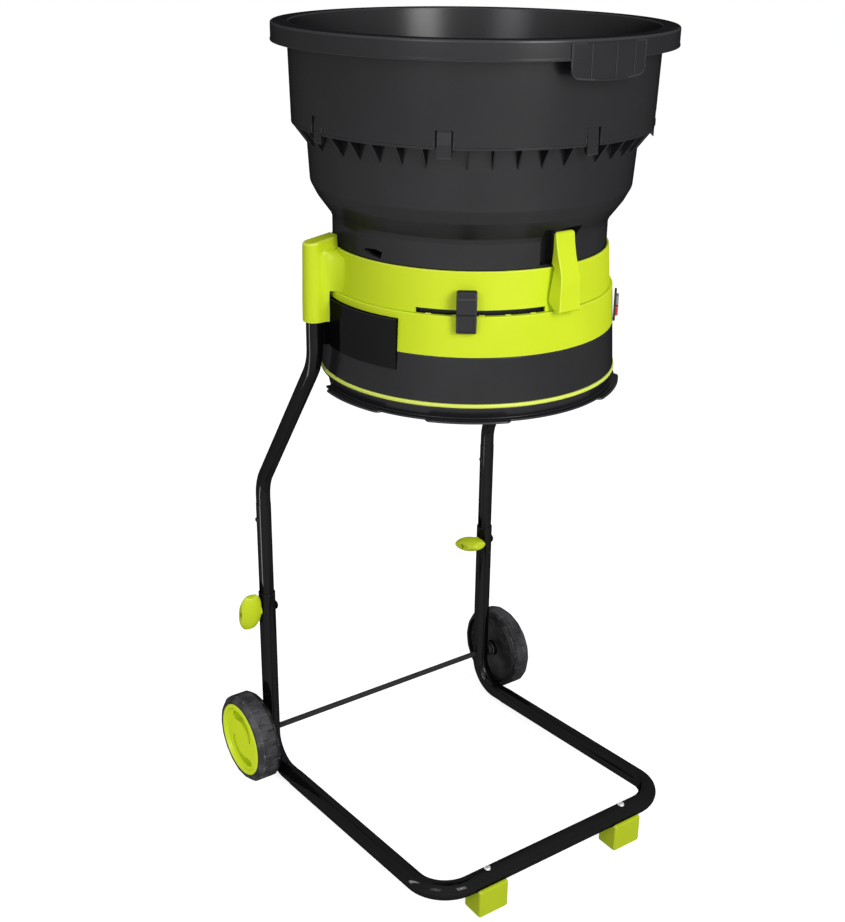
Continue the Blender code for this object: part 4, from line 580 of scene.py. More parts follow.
# %% Dress a node
# This value lightens edges in every finish: partly wear, partly a painted highlight.
def mark_worn_and_lit_edges(mesh):
    """Stores, for each narrow face, how strongly the surface turns outwards there."""
    bm = bmesh.new()
    bm.from_mesh(mesh)
    layer = bm.faces.layers.float.new("edge_wear_and_highlight")
    for face in bm.faces:
        if 2.0 * face.calc_area() < 0.0010 * face.calc_perimeter():
            turns = [e.calc_face_angle_signed(0.0) for e in face.edges if len(e.link_faces) == 2]
            turn = sum(t for t in turns if abs(t) < 0.95)
            face[layer] = max(0.0, min(1.0, (turn - 0.15) / 0.7))
    bm.to_mesh(mesh)
    bm.free()


def smooth(obj, sharp=38.0):
    obj.data.shade_smooth()
    obj.data.set_sharp_from_angle(angle=math.radians(sharp))
    step = obj.modifiers.new("weighted", "WEIGHTED_NORMAL")
    step.keep_sharp, step.weight = True, 60
    return settle(obj)


def dress(obj, node, finish, sharp=38.0):
    """Makes obj the visible form of one CAD node."""
    mark_worn_and_lit_edges(obj.data)
    obj.data.materials.clear()
    obj.data.materials.append(finish)
    smooth(obj, sharp)
    obj.data.transform(Matrix.Translation(AXIS))
    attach(obj, frame["nodes"][node]["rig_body"])
    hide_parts(node)
    low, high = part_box(node)
    mine = [Vector(map(f, zip(*(v.co for v in obj.data.vertices)))) for f in (min, max)]
    off = [round(1000 * (a - b), 1) for a, b in zip((*mine[0], *mine[1]), (*low, *high))]
    obj.data.calc_loop_triangles()
    print(f"{obj.name}: {len(obj.data.loop_triangles)} triangles, box off by {off} mm")
    return obj


SIDES = (("left", -1), ("right", 1))

# %% [markdown]
# ## Patterns round the machine
#
# Gussets, clips and vents repeat at even steps round the axis, some of them in groups. Geometry
# Nodes does that: the tree makes a row of points, works each point's angle out from its number,
# and puts a turned copy of the drawn shape on each. The copies are made real at the end, because
# an export drops instances.

# %% Trees with named inputs
def new_tree(name, inputs):
    """A geometry node tree with these named inputs; returns it, its wires and its group."""
    group = bpy.data.node_groups.new(name, "GeometryNodeTree")
    group.interface.new_socket("Geometry", in_out="INPUT", socket_type="NodeSocketGeometry")
    for label, kind in inputs:
        group.interface.new_socket(label, in_out="INPUT", socket_type="NodeSocket" + kind)
    group.interface.new_socket("Geometry", in_out="OUTPUT", socket_type="NodeSocketGeometry")
    tree = Tree(group)
    entry = group.nodes.new("NodeGroupInput")
    wires = {s.name: Wire(tree, s) for s in entry.outputs if s.name}
    return group, tree, wires


def end_tree(group, tree, geometry, finish):
    real = tree.node("GeometryNodeRealizeInstances", {}, {0: geometry})
    dressed = tree.node("GeometryNodeSetMaterial", {}, {"Geometry": real, "Material": finish})
    tree.plug(group.nodes.new("NodeGroupOutput").inputs[0], dressed)


print("trees can be made")

# %% [markdown]
# In the pattern tree a point's number gives its group and its place in the group, and these give
# its angle. An input is set by its identifier, because two inputs could share one name.

# %% A row of copies round the axis
def pattern_tree():
    group, tree, wires = new_tree("round_pattern", (
        ("Groups", "Int"), ("In each", "Int"), ("Group turn", "Float"), ("Step", "Float"),
        ("Start", "Float"), ("Finish", "Material")))
    count = wires["Groups"] * wires["In each"]
    row = tree.node("GeometryNodeMeshLine", {}, {"Count": count, "Offset": (0.0, 0.0, 0.0)})
    number = tree.node("GeometryNodeInputIndex")
    which = (number / wires["In each"]).floor()
    place = number - which * wires["In each"] - (wires["In each"] - 1.0) * 0.5
    angle = wires["Start"] + wires["Group turn"] * which + wires["Step"] * place
    turn = tree.node("ShaderNodeCombineXYZ", {}, {"Z": angle * (-math.pi / 180.0)})
    copies = tree.node("GeometryNodeInstanceOnPoints", {}, {
        "Points": row, "Instance": wires["Geometry"],
        "Rotation": tree.node("FunctionNodeEulerToRotation", {}, {0: turn})})
    end_tree(group, tree, copies, wires["Finish"])
    return group


def run_tree(obj, group, values):
    """Runs a tree on an object and keeps the result as a plain mesh."""
    step = obj.modifiers.new(group.name, "NODES")
    step.node_group = group
    keys = {i.name: i.identifier for i in group.interface.items_tree if i.in_out == "INPUT"}
    for label, value in values.items():
        step[keys[label]] = value
    return settle(obj)


PATTERN = pattern_tree()


def repeated(bm, groups, in_each=1, turn=None, step=0.0, start=0.0):
    """Copies of one sketch round the axis, as one object."""
    values = {"Groups": groups, "In each": in_each, "Step": step, "Start": start,
              "Group turn": 360.0 / groups if turn is None else turn, "Finish": BLACK}
    return run_tree(thing("pattern", bm), PATTERN, values)


print("pattern inputs:", [i.name for i in PATTERN.interface.items_tree])

# %% [markdown]
# ## Hopper
#
# The upper ring is a thin wall that leans out, with a folded rim. The skirt of the rim ends in a
# small bead that stiffens it and draws a thin bright line. Eight tongues of the wall, each freed
# by two slits, hang down and hook under the funnel's flange.

# %% Hopper ring
FLANGE_Z, RIM_Z, RIM_R = 0.9345, 1.0413, 0.2300
RING_LOW_R, RING_TOP_R, SKIRT = 0.2087, 0.2115, 0.0206
CLIP_WIDTH, CLIP_RISE, CLIP_DROP, CLIP_SLIT, CLIP_BACK = 0.0150, 0.0170, 0.0095, 0.0017, 0.0036
ring_low = FLANGE_Z + GAP


def ring_outline():
    skirt = RIM_Z - SKIRT
    return rounded([
        (RIM_R - WALL, skirt, 0.0006), (RIM_R, skirt, 0.0007), (RIM_R, skirt + 0.0018, 0.0006),
        (RIM_R - 0.0006, skirt + 0.0026, 0.0010), (RIM_R - 0.0006, RIM_Z, 0.0026),
        (RING_TOP_R - WALL, RIM_Z, 0.0020), (RING_TOP_R - WALL - 0.0052, RIM_Z - 0.0460, 0.0300),
        (RING_LOW_R - WALL, ring_low, 0.0004),
        (RING_LOW_R, ring_low, 0.0005), (RING_TOP_R, RIM_Z - WALL, 0.0020),
        (RIM_R - WALL, RIM_Z - WALL, 0.0015)])


def clip_outline():
    """A tongue set a little back in its window, with a hook under the flange."""
    face, out = RING_LOW_R - CLIP_BACK + GAP, RING_LOW_R - 0.0004
    under, top = FLANGE_Z - WALL - 2 * GAP, ring_low + CLIP_RISE
    return rounded([
        (RING_LOW_R - WALL + 0.0004, top + 0.0010, 0.0), (RING_LOW_R + 0.0002, top + 0.0010, 0.0002),
        (out - 0.0010, top - 0.0030, 0.0006), (out, ring_low + 0.0020, 0.0010),
        (out, under - CLIP_DROP, 0.0008),
        (face - 0.0022, under - CLIP_DROP / 2, 0.0008), (face - 0.0022, under, 0.0004), (face, under, 0.0),
        (face, ring_low + 0.0040, 0.0010)])


def clip_windows():
    half = CLIP_WIDTH / 2 + CLIP_SLIT
    for angle in range(0, 360, 45):
        yield softened(block((-half, RING_LOW_R - 0.01, ring_low - 0.02),
                             (half, RING_LOW_R + 0.01, ring_low + CLIP_RISE), angle), 0.0015, 2)


def clip_post():
    """A small rib that stiffens the wall beside a tongue."""
    low, high = ring_low, ring_low + 0.0065
    outline = [(RING_LOW_R - 0.0006, low), (RING_LOW_R + 0.0009, low), (RING_LOW_R + 0.0009, high - 0.0012),
               (RING_LOW_R - 0.0004, high)]
    return softened(pushed(outline, -0.0007, 0.0007), 0.0002, 1, 60.0)


hopper_ring = carved(thing("hopper_ring", turned(ring_outline())), *clip_windows())
clip = softened(pushed(clip_outline(), -CLIP_WIDTH / 2, CLIP_WIDTH / 2), 0.0004, 2, 60.0)
post_turn = math.degrees(CLIP_WIDTH + 2 * CLIP_SLIT + 0.0016) / RING_LOW_R
laid_in(hopper_ring, repeated(clip, 8), repeated(clip_post(), 8, 2, step=post_turn))
print("clips hang to z =", round(FLANGE_Z - WALL - CLIP_DROP, 4))

# %% [markdown]
# Two hand grips hang from the rim, front and rear. Each is a curved apron with rounded lower
# corners and a bead along its edge. Three ribs behind it tie it to the wall, and each shows as a
# fine upright ridge on its face. The apron is lofted section by section, because its depth
# changes along its length.

# %% Hand grips
GRIP_HALF, GRIP_DROP, GRIP_CORNER, GRIP_SAG = 12.6, 0.0205, 0.0085, 0.0036


def apron_foot(angle):
    """Height of the apron's lower edge: it sags in the middle and is rounded at both ends."""
    reach = math.radians(GRIP_HALF) * RIM_R
    along = abs(math.radians(angle)) * RIM_R
    past = max(0.0, along - (reach - GRIP_CORNER)) / GRIP_CORNER
    corner = GRIP_CORNER * (1.0 - math.sqrt(max(0.0, 1.0 - past * past)))
    return RIM_Z - SKIRT - GRIP_DROP + GRIP_SAG * (along / reach) ** 2 + corner


def apron(centre):
    ends = [GRIP_HALF * math.sin(math.pi / 2 * k / 24) for k in range(-24, 25)]
    out, back, top = RIM_R + 0.0010, RIM_R - WALL + 0.0003, RIM_Z - 0.0040
    sections = []
    for angle in ends:
        foot = apron_foot(angle)
        outline = [(back, top), (RIM_R - 0.0008, top + 0.0006), (out - 0.0006, top - 0.0006),
                   (out - 0.0006, foot + 0.0028),
                   (out, foot + 0.0021), (out, foot + 0.0006), (out - 0.0006, foot), (back + 0.0004, foot),
                   (back, foot + 0.0005)]
        sections.append([spot(r, centre + angle, z) for r, z in outline])
    return loft(sections)


def grip_ribs(centre):
    """Ribs that tie the apron to the wall, and the fine ridges that show on its face."""
    foot = RIM_Z - SKIRT - GRIP_DROP + 0.0010
    for angle in (-7.9, -1.2, 6.7):
        yield softened(block((-0.0011, RING_TOP_R - 0.0020, foot + 0.0080),
                             (0.0011, RIM_R - 0.0018, RIM_Z - 0.0015), centre + angle), 0.0003, 1)
        yield softened(block((-0.0006, RIM_R - 0.0012, foot + 0.0015),
                             (0.0006, RIM_R + 0.0009, RIM_Z - 0.0045), centre + angle), 0.0002, 1)


laid_in(hopper_ring, apron(0.0), apron(180.0), *grip_ribs(0.0), *grip_ribs(180.0))
dress(hopper_ring, "upper_hopper", BLACK)

# %% [markdown]
# The funnel below is one moulding: flange, slightly tapered bowl, a soft shoulder and a neck that
# goes down into the green collar. Its outline has large roundings at the shoulder, which the
# plain solid only hints at.

# %% Funnel
NECK_R, NECK_Z, SHOULDER_Z, FUNNEL_Z = 0.1632, 0.7960, 0.8290, 0.8655
FUNNEL_LOW_R, FUNNEL_TOP_R, COLLAR_TOP_Z, COLLAR_TOP_R = 0.1885, 0.1925, 0.7957, 0.1663
SPIGOT_R = COLLAR_TOP_R - WALL - 8 * GAP
RECESS_HALF, RECESS_DEEP, RECESS_HIGH = 8.8, 0.0090, 0.0430
GUSSET_DROP, GUSSET_THICK = 0.0230, 0.0022


def funnel_outline():
    throat, foot = SPIGOT_R - WALL, COLLAR_TOP_Z - 0.0260
    return rounded([
        (RING_LOW_R, FLANGE_Z, 0.0003), (RING_LOW_R, FLANGE_Z - WALL, 0.0005),
        (FUNNEL_TOP_R, FLANGE_Z - WALL, 0.0010), (FUNNEL_LOW_R, FUNNEL_Z, 0.0120),
        (FUNNEL_LOW_R - 0.0078, FUNNEL_Z - 0.0150, 0.0200), (NECK_R + 0.0028, SHOULDER_Z + 0.0015, 0.0110),
        (NECK_R, SHOULDER_Z - 0.0050, 0.0080), (NECK_R, NECK_Z, 0.0006), (SPIGOT_R, NECK_Z, 0.0),
        (SPIGOT_R, foot, 0.0004), (throat, foot, 0.0004), (throat, SHOULDER_Z, 0.0060),
        (FUNNEL_LOW_R - 0.0108, FUNNEL_Z - 0.0145, 0.0200), (FUNNEL_LOW_R - WALL, FUNNEL_Z, 0.0120),
        (FUNNEL_TOP_R - WALL, FLANGE_Z, 0.0006)])


print("funnel outline:", len(funnel_outline()), "points")

# %% [markdown]
# Forty small triangular gussets stand under the flange, five between each pair of clips. The
# flange has a seat for every clip. Front and rear the neck bulges inwards, so that a latch lever
# has room to lean in, and on each side a slanted keyhole goes through the neck.

# %% Gussets, seats and recesses
def gusset():
    top = FLANGE_Z - WALL + 0.0003
    root = FUNNEL_TOP_R - (FUNNEL_TOP_R - FUNNEL_LOW_R) / 0.0690 * GUSSET_DROP - 0.0012
    outline = [(root, top), (RING_LOW_R - 0.0008, top), (RING_LOW_R - 0.0008, top - 0.0008),
               (root + 0.0010, top - GUSSET_DROP), (root, top - GUSSET_DROP)]
    return softened(pushed(outline, -GUSSET_THICK / 2, GUSSET_THICK / 2), 0.0003, 1, 60.0)


def clip_seats():
    half = CLIP_WIDTH / 2 + CLIP_SLIT
    for angle in range(0, 360, 45):
        yield block((-half, RING_LOW_R - CLIP_BACK, FLANGE_Z - 0.01),
                    (half, RING_LOW_R + 0.01, FLANGE_Z + 0.01),
                    angle)


def recess_wall(centre):
    """The neck's inward bulge that the latch lever folds into."""
    back, middle, roof = NECK_R - RECESS_DEEP - WALL, NECK_R - WALL, NECK_Z + RECESS_HIGH + WALL
    flare = (FUNNEL_LOW_R - NECK_R - 0.0106) / 0.0200
    extra = math.degrees(WALL / NECK_R)
    outline = [(back, NECK_Z + GAP), (middle, NECK_Z + GAP), (middle, SHOULDER_Z),
               (middle + 0.0010 + flare * (roof - SHOULDER_Z), roof), (back, roof)]
    return turned(outline, centre - RECESS_HALF - extra, centre + RECESS_HALF + extra)


def recess_hollow(centre):
    outline = [(NECK_R - RECESS_DEEP, NECK_Z + WALL), (NECK_R + 0.03, NECK_Z + WALL),
               (NECK_R + 0.03, NECK_Z + RECESS_HIGH), (NECK_R - RECESS_DEEP, NECK_Z + RECESS_HIGH)]
    return turned(outline, centre - RECESS_HALF, centre + RECESS_HALF)


def keyhole(centre):
    """A slanted hole with six corners, through the neck."""
    outline = [(0.0130, NECK_Z + 0.0110), (-0.0048, NECK_Z + 0.0128), (-0.0144, NECK_Z + 0.0108),
               (-0.0122, NECK_Z + 0.0030), (0.0036, NECK_Z + 0.0054), (0.0130, NECK_Z + 0.0084)]
    place = facing(centre)
    return loft([[place @ Vector((x, y, z)) for x, z in outline] for y in (NECK_R - 0.006, NECK_R + 0.02)])


funnel = thing("funnel", turned(funnel_outline()))
welded(funnel, recess_wall(0.0), recess_wall(180.0))
carved(funnel, *clip_seats(), recess_hollow(0.0), recess_hollow(180.0), keyhole(78.2), keyhole(258.2))
laid_in(funnel, repeated(gusset(), 8, 5, step=8.0, start=22.5))
dress(funnel, "lower_hopper", BLACK)

# %% [markdown]
# ## Green collar and band
#
# The collar carries the legs. On each side a sleeve, round outside and sloped on top, covers the
# top of the tube. Its front side flows out along the collar at middle height and draws in at the
# top. A block can't do that, so the sleeve is lofted from plans, each with its own flare.

# %% Collar wall and leg sleeves
COLLAR_Z, COLLAR_LOW_R, SLOT_START, SLOT_END, SLOT_HIGH = 0.7472, 0.1700, 6.8, 57.0, 0.0062
LEG_X, LEG_Y, UPPER_LEG_Y, UPPER_R, PLUG_R = 0.1890, 0.1910, 0.0476, 0.0097, 0.0088
SADDLE_R, SADDLE_LOW, SADDLE_TOP = 0.1790, 0.6797, 0.7387
SLEEVE_LOW, SLEEVE_TOP, SLEEVE_FALL, SLEEVE_WALL = 0.7100, 0.8090, 0.0060, 0.0033
SLEEVE_ROOT = COLLAR_TOP_R - 0.0073
PIN_Y, PIN_Z, PIN_R, FOOT_R = 0.1820, 0.7562, 0.0020, 0.0085
# height, how far the front side flares out, how far the outline is drawn in
SLEEVE_PLANS = (
    (SLEEVE_LOW, 0.55, 0.0012), (SLEEVE_LOW + 0.0004, 0.55, 0.0003), (SLEEVE_LOW + 0.0014, 0.55, 0.0),
    (0.7400, 0.60, 0.0002), (0.7560, 0.85, 0.0006), (0.7640, 1.0, 0.0008), (0.7780, 1.0, 0.0011),
    (0.7880, 0.75, 0.0013), (0.7935, 0.35, 0.0014), (0.7960, 0.10, 0.0015),
    (SLEEVE_TOP - 0.0026, 0.05, 0.0016), (SLEEVE_TOP - 0.0012, 0.05, 0.0020),
    (SLEEVE_TOP - 0.0003, 0.05, 0.0029), (SLEEVE_TOP, 0.05, 0.0042))


def collar_outline():
    return rounded([
        (COLLAR_TOP_R, COLLAR_TOP_Z, 0.0014), (COLLAR_LOW_R, COLLAR_Z, 0.0006),
        (COLLAR_LOW_R - WALL, COLLAR_Z, 0.0003), (COLLAR_TOP_R - WALL, COLLAR_TOP_Z, 0.0004)])


def sleeve_plan(radius, flare, edge):
    """The left sleeve from above; flare draws its front side out along the collar, edge draws it in."""
    r = UPPER_R + GAP + SLEEVE_WALL - edge
    nose = [(-LEG_X - r * math.cos(a), UPPER_LEG_Y + r * math.sin(a))
            for a in (math.radians(-96 + 192 * i / 24) for i in range(25))]
    start = Vector((-radius, UPPER_LEG_Y - 0.0081 - 0.0319 * flare + edge))
    middle = Vector((-0.1735, UPPER_LEG_Y - 0.0094 - 0.0040 * flare + edge))
    end = Vector(nose[0])
    side_run = [start * (1 - t) ** 2 + middle * 2 * t * (1 - t) + end * t * t
                for t in (k / 7 for k in range(7))]
    return ([(-SLEEVE_ROOT, UPPER_LEG_Y + 0.0150 - edge),
             (-SLEEVE_ROOT, UPPER_LEG_Y - 0.0060 - 0.0340 * flare + edge)]
            + [(p.x, p.y) for p in side_run] + nose)


def sleeve(side):
    sections = []
    for z, flare, edge in SLEEVE_PLANS:
        share = min(1.0, max(0.0, (z - COLLAR_Z) / (COLLAR_TOP_Z - COLLAR_Z)))
        radius = COLLAR_LOW_R + share * (COLLAR_TOP_R - COLLAR_LOW_R) - 0.0006
        plan = sleeve_plan(radius, flare, edge)
        slope = SLEEVE_FALL / 0.0430 if z > COLLAR_TOP_Z else 0.0
        sections.append([Vector((-side * x, y, z - slope * (-x - SLEEVE_ROOT))) for x, y in plan])
    return loft(sections)


print("sleeve plan:", len(sleeve_plan(COLLAR_LOW_R, 1.0, 0.0)), "points")

# %% [markdown]
# The sleeve's inner end would show inside the collar, so everything within the collar's wall is
# cut away before the two are welded. Then the bores for the tubes, the channel for the saddle, the
# slot of the coarseness slider and the latch lugs follow.

# %% Collar
def inside_collar():
    half, plate = WALL / 2, SADDLE_R + 2 * GAP
    return turned([(0.0, SLEEVE_LOW - 0.01), (plate, SLEEVE_LOW - 0.01), (plate, COLLAR_Z + GAP),
                   (COLLAR_LOW_R - half, COLLAR_Z + GAP), (COLLAR_TOP_R - half, COLLAR_TOP_Z - 0.0020),
                   (COLLAR_TOP_R - half, COLLAR_TOP_Z + 0.05), (0.0, COLLAR_TOP_Z + 0.05)])


def standoff_channel(side):
    ends = sorted((side * (SADDLE_R - 0.01), side * LEG_X))
    return block((ends[0], UPPER_LEG_Y - 0.0078, SLEEVE_LOW - 0.01),
                 (ends[1], UPPER_LEG_Y + 0.0078, SADDLE_TOP + GAP))


def slot_cutter():
    outline = [(COLLAR_TOP_R - 0.01, COLLAR_Z - 0.001), (COLLAR_LOW_R + 0.01, COLLAR_Z - 0.001),
               (COLLAR_LOW_R + 0.01, COLLAR_Z + SLOT_HIGH), (COLLAR_TOP_R - 0.01, COLLAR_Z + SLOT_HIGH)]
    return turned(outline, SLOT_START, SLOT_END)


def latch_lug(angle):
    r = 0.0036
    outline = [(COLLAR_LOW_R - 0.0015, PIN_Z + r), (COLLAR_LOW_R - 0.0015, PIN_Z - r)]
    outline += [(PIN_Y + r * math.cos(a), PIN_Z + r * math.sin(a))
                for a in (math.radians(-90 + 180 * i / 16) for i in range(17))]
    return softened(pushed(outline, -0.0045, 0.0045, angle), 0.0005, 2, 50.0)


green_collar = thing("green_collar", turned(collar_outline()))
for name, side in SIDES:
    jacket = carved(thing("jacket", sleeve(side)), inside_collar())
    bm = bmesh.new()
    bm.from_mesh(jacket.data)
    bpy.data.objects.remove(jacket)
    welded(green_collar, bm)
    x = side * LEG_X
    carved(green_collar, rod(UPPER_R + 2 * GAP, (x, UPPER_LEG_Y, 0.70), (x, UPPER_LEG_Y, 0.7991)),
           standoff_channel(side))
carved(green_collar, slot_cutter())
welded(green_collar, latch_lug(0.0), latch_lug(180.0))
carved(green_collar, rod(PIN_R + GAP, (-0.03, PIN_Y, PIN_Z), (0.03, PIN_Y, PIN_Z)),
       rod(PIN_R + GAP, (-0.03, -PIN_Y, PIN_Z), (0.03, -PIN_Y, PIN_Z)))
dress(green_collar, "cutter_collar", LIME)

# %% [markdown]
# The band under it is a shell with its own top. It is notched round the two steel saddles and
# has a window behind the switch. Five low teeth along the slot are what the slider clicks over:
# they are the small bright steps in the dark slot.

# %% Band
BAND_Z, BAND_TOP, BAND_LOW_R, BAND_TOP_R, CHAMBER_R = 0.7010, 0.7469, 0.1765, 0.1735, 0.1640
SWITCH_ANGLE, MID_BAND = -46.0, 0.721655
SADDLES = ((63.15, 145.05), (-145.05, -63.15))


def band_outline():
    spigot = CHAMBER_R + WALL + 2 * GAP
    return rounded([
        (BAND_TOP_R, BAND_TOP, 0.0010), (BAND_LOW_R, BAND_Z, 0.0010), (BAND_LOW_R - WALL, BAND_Z, 0.0004),
        (BAND_TOP_R - WALL, BAND_TOP - WALL, 0.0), (spigot, BAND_TOP - WALL, 0.0),
        (spigot, BAND_TOP, 0.0003)])


def saddle_notch(start, end):
    inner, outer = CHAMBER_R + WALL + 2 * GAP, BAND_LOW_R + 0.01
    return turned([(inner, BAND_Z - 0.01), (outer, BAND_Z - 0.01), (outer, SADDLE_TOP + GAP),
                   (inner, SADDLE_TOP + GAP)], start, end)


def detent():
    outline = [(COLLAR_LOW_R - 0.0024, BAND_TOP - 0.0004), (COLLAR_LOW_R - GAP, BAND_TOP - 0.0004),
               (COLLAR_LOW_R - GAP, BAND_TOP + 0.0009), (COLLAR_LOW_R - 0.0024, BAND_TOP + 0.0009)]
    return softened(pushed(outline, -0.0032, 0.0032), 0.0005, 2)


green_band = thing("green_band", turned(band_outline()))
window = block((-0.0083, BAND_TOP_R - 0.006, MID_BAND - 0.0128),
               (0.0083, BAND_LOW_R + 0.006, MID_BAND + 0.0128),
               SWITCH_ANGLE)
carved(green_band, *(saddle_notch(*span) for span in SADDLES), window)
tooth_step = (SLOT_END - SLOT_START) / 5
laid_in(green_band, repeated(detent(), 1, 5, 0.0, tooth_step, (SLOT_START + SLOT_END) / 2))
dress(green_band, "housing_band", LIME)

# %% [markdown]
# ## Lower housing, trim and mouth
#
# The housing is a double wall round the cutting chamber, with a ledge for the motor's carrier.
# All of that is one turned outline, and the two saddles get their seats cut into its outside.

# %% Lower housing
HOUSING_R, HOUSING_Z, LEDGE_R, LEDGE_Z, SKIRT_TOP = 0.1800, 0.6481, 0.1560, 0.6715, 0.7440


def housing_outline():
    skirt, top = CHAMBER_R + WALL, BAND_Z - GAP
    return rounded([
        (skirt, SKIRT_TOP, 0.0005), (skirt, top, 0.0), (BAND_LOW_R, top, 0.0008),
        (HOUSING_R, HOUSING_Z, 0.0008),
        (HOUSING_R - 0.0040, HOUSING_Z, 0.0005), (BAND_LOW_R - 0.0040, top - WALL, 0.0),
        (skirt, top - WALL, 0.0), (skirt, LEDGE_Z - 0.0070, 0.0005), (LEDGE_R, LEDGE_Z - 0.0070, 0.0005),
        (LEDGE_R, LEDGE_Z, 0.0006), (CHAMBER_R, LEDGE_Z, 0.0), (CHAMBER_R, SKIRT_TOP, 0.0005)])


def saddle_seat(start, end):
    inner, outer = SADDLE_R - 0.0033, HOUSING_R + 0.01
    return turned([(inner, SADDLE_LOW - GAP), (outer, SADDLE_LOW - GAP), (outer, 0.72), (inner, 0.72)],
                  start, end)


black_housing = thing("black_housing", turned(housing_outline()))
carved(black_housing, *(saddle_seat(*span) for span in SADDLES))
dress(black_housing, "lower_housing", BLACK)

# %% [markdown]
# A thin green bead closes the housing below; its round face carries one bright line about the
# machine. Under it the mouth tapers in. Five flat lips on the mouth hold a sack. They run out into
# the flange at both ends, so they are lofted. The mouth is cut back beside the legs.

# %% Trim bead and discharge mouth
TRIM_R, TRIM_Z, TRIM_TOP, MOUTH_Z = 0.1815, 0.6433, 0.6478, 0.6290
MOUTH_R, MOUTH_LOW_R, FLANGE_R, LIP_R, LIP_HALF = 0.1805, 0.1768, 0.1832, 0.1882, 15.5
trim_outline = rounded([(TRIM_R - 0.0038, TRIM_TOP, 0.0002), (TRIM_R, TRIM_TOP, 0.0021),
                        (TRIM_R, TRIM_Z, 0.0021), (TRIM_R - 0.0038, TRIM_Z, 0.0002)], 6)
# The bead's paler lime adds a painted highlight to its bright line.
dress(thing("trim_bead", turned(trim_outline)), "trim_ring", BEAD_LIME_PAINTED_HIGHLIGHT)


def mouth_outline():
    """The tapered mouth; its foot is turned out into a thin flange."""
    spigot, top = TRIM_R - 0.0041, MOUTH_Z + 0.0140
    return rounded([
        (MOUTH_R, top, 0.0006), (MOUTH_LOW_R + 0.0006, MOUTH_Z + 0.0010, 0.0012),
        (FLANGE_R, MOUTH_Z + 0.0006, 0.0006),
        (FLANGE_R, MOUTH_Z - 0.0016, 0.0006), (MOUTH_LOW_R - WALL, MOUTH_Z - 0.0016, 0.0004),
        (spigot - WALL, TRIM_TOP, 0.0), (spigot, TRIM_TOP, 0.0003), (spigot, top, 0.0)])


def lip(middle):
    """A flat lip with a turned-down edge, drawn back into the flange at its ends."""
    inner, top, low = MOUTH_LOW_R, MOUTH_Z + 0.0004, MOUTH_Z - 0.0020
    sections = []
    for k in range(49):
        share = k / 24 - 1
        out = LIP_R - (LIP_R - FLANGE_R + 0.0010) * max(0.0, (abs(share) - 0.88) / 0.12) ** 2
        outline = [(inner, top), (out - 0.0014, top), (out - 0.0004, top - 0.0004), (out, top - 0.0012),
                   (out, low + 0.0004), (out - 0.0005, low), (inner, low)]
        sections.append([spot(r, middle + share * LIP_HALF, z) for r, z in outline])
    return loft(sections)


def leg_relief(start, end):
    return turned([(0.157, MOUTH_Z - 0.01), (0.1905, MOUTH_Z - 0.01), (0.1905, MOUTH_Z + 0.0115),
                   (0.157, MOUTH_Z + 0.0115)], start, end)


mouth = thing("discharge_mouth", turned(mouth_outline()))
carved(mouth, leg_relief(102.5, 145.0), leg_relief(-145.0, -102.5))
laid_in(mouth, *(lip(middle) for middle in (-84.0, -36.0, 36.0, 84.0, 180.0)))
dress(mouth, "discharge_ring", BLACK)

# %% [markdown]
# ## Saddles
#
# A steel saddle is a plate rolled to the housing's curve, with a bent stand-off that is welded
# on and bored for the leg. Its corners are cut square and then filed, so they are rounded here
# only a little.

# %% Saddles
def saddle_plate(side):
    ends = (63.3, 144.9) if side < 0 else (-144.9, -63.3)
    inner = SADDLE_R - 0.0030
    outline = rounded([(inner, SADDLE_LOW, 0.0004), (SADDLE_R, SADDLE_LOW, 0.0007),
                       (SADDLE_R, SADDLE_TOP, 0.0007), (inner, SADDLE_TOP, 0.0004)], 2)
    obj = thing("saddle", turned(outline, *ends))
    x = sorted((side * (SADDLE_R - 0.0100), side * LEG_X))
    post = block((x[0], UPPER_LEG_Y - 0.0075, SADDLE_LOW + 0.0002),
                 (x[1], UPPER_LEG_Y + 0.0075, SADDLE_TOP - 0.0002))
    welded(obj, softened(post, 0.0010, 2))
    bore = rod(UPPER_R + 1.5 * GAP, (side * LEG_X, UPPER_LEG_Y, 0.66), (side * LEG_X, UPPER_LEG_Y, 0.76))
    inside = turned([(inner - 0.02, 0.66), (inner, 0.66), (inner, 0.76), (inner - 0.02, 0.76)],
                    ends[0] - 5, ends[1] + 5)
    return carved(obj, bore, inside)


for name, side in SIDES:
    plate = saddle_plate(side)
    plate.name = "steel_saddle_" + name
    dress(plate, "saddle_plate_" + name, PAINT)

# %% [markdown]
# ## Latches
#
# Each latch is a lime lever that swings on a pin through the collar's lug. It is flat at the head,
# where it leans into the neck's recess, and wide and deep at the foot, where its front is narrower
# than its back. One outline pushed across would give it straight flanks, so it is lofted from
# sections up its height, and short runs of marks say where its front, its back and its sides are.
# The slot for the lug is cut from behind. The pin's hole is cut from one side only, so the pin
# shows on that side alone.

# %% Lever sections
def between(value, marks):
    """Reads a value off a run of (place, level) marks."""
    for (a, low), (b, high) in zip(marks, marks[1:]):
        if value <= b:
            return low + (high - low) * max(0.0, value - a) / (b - a)
    return marks[-1][1]


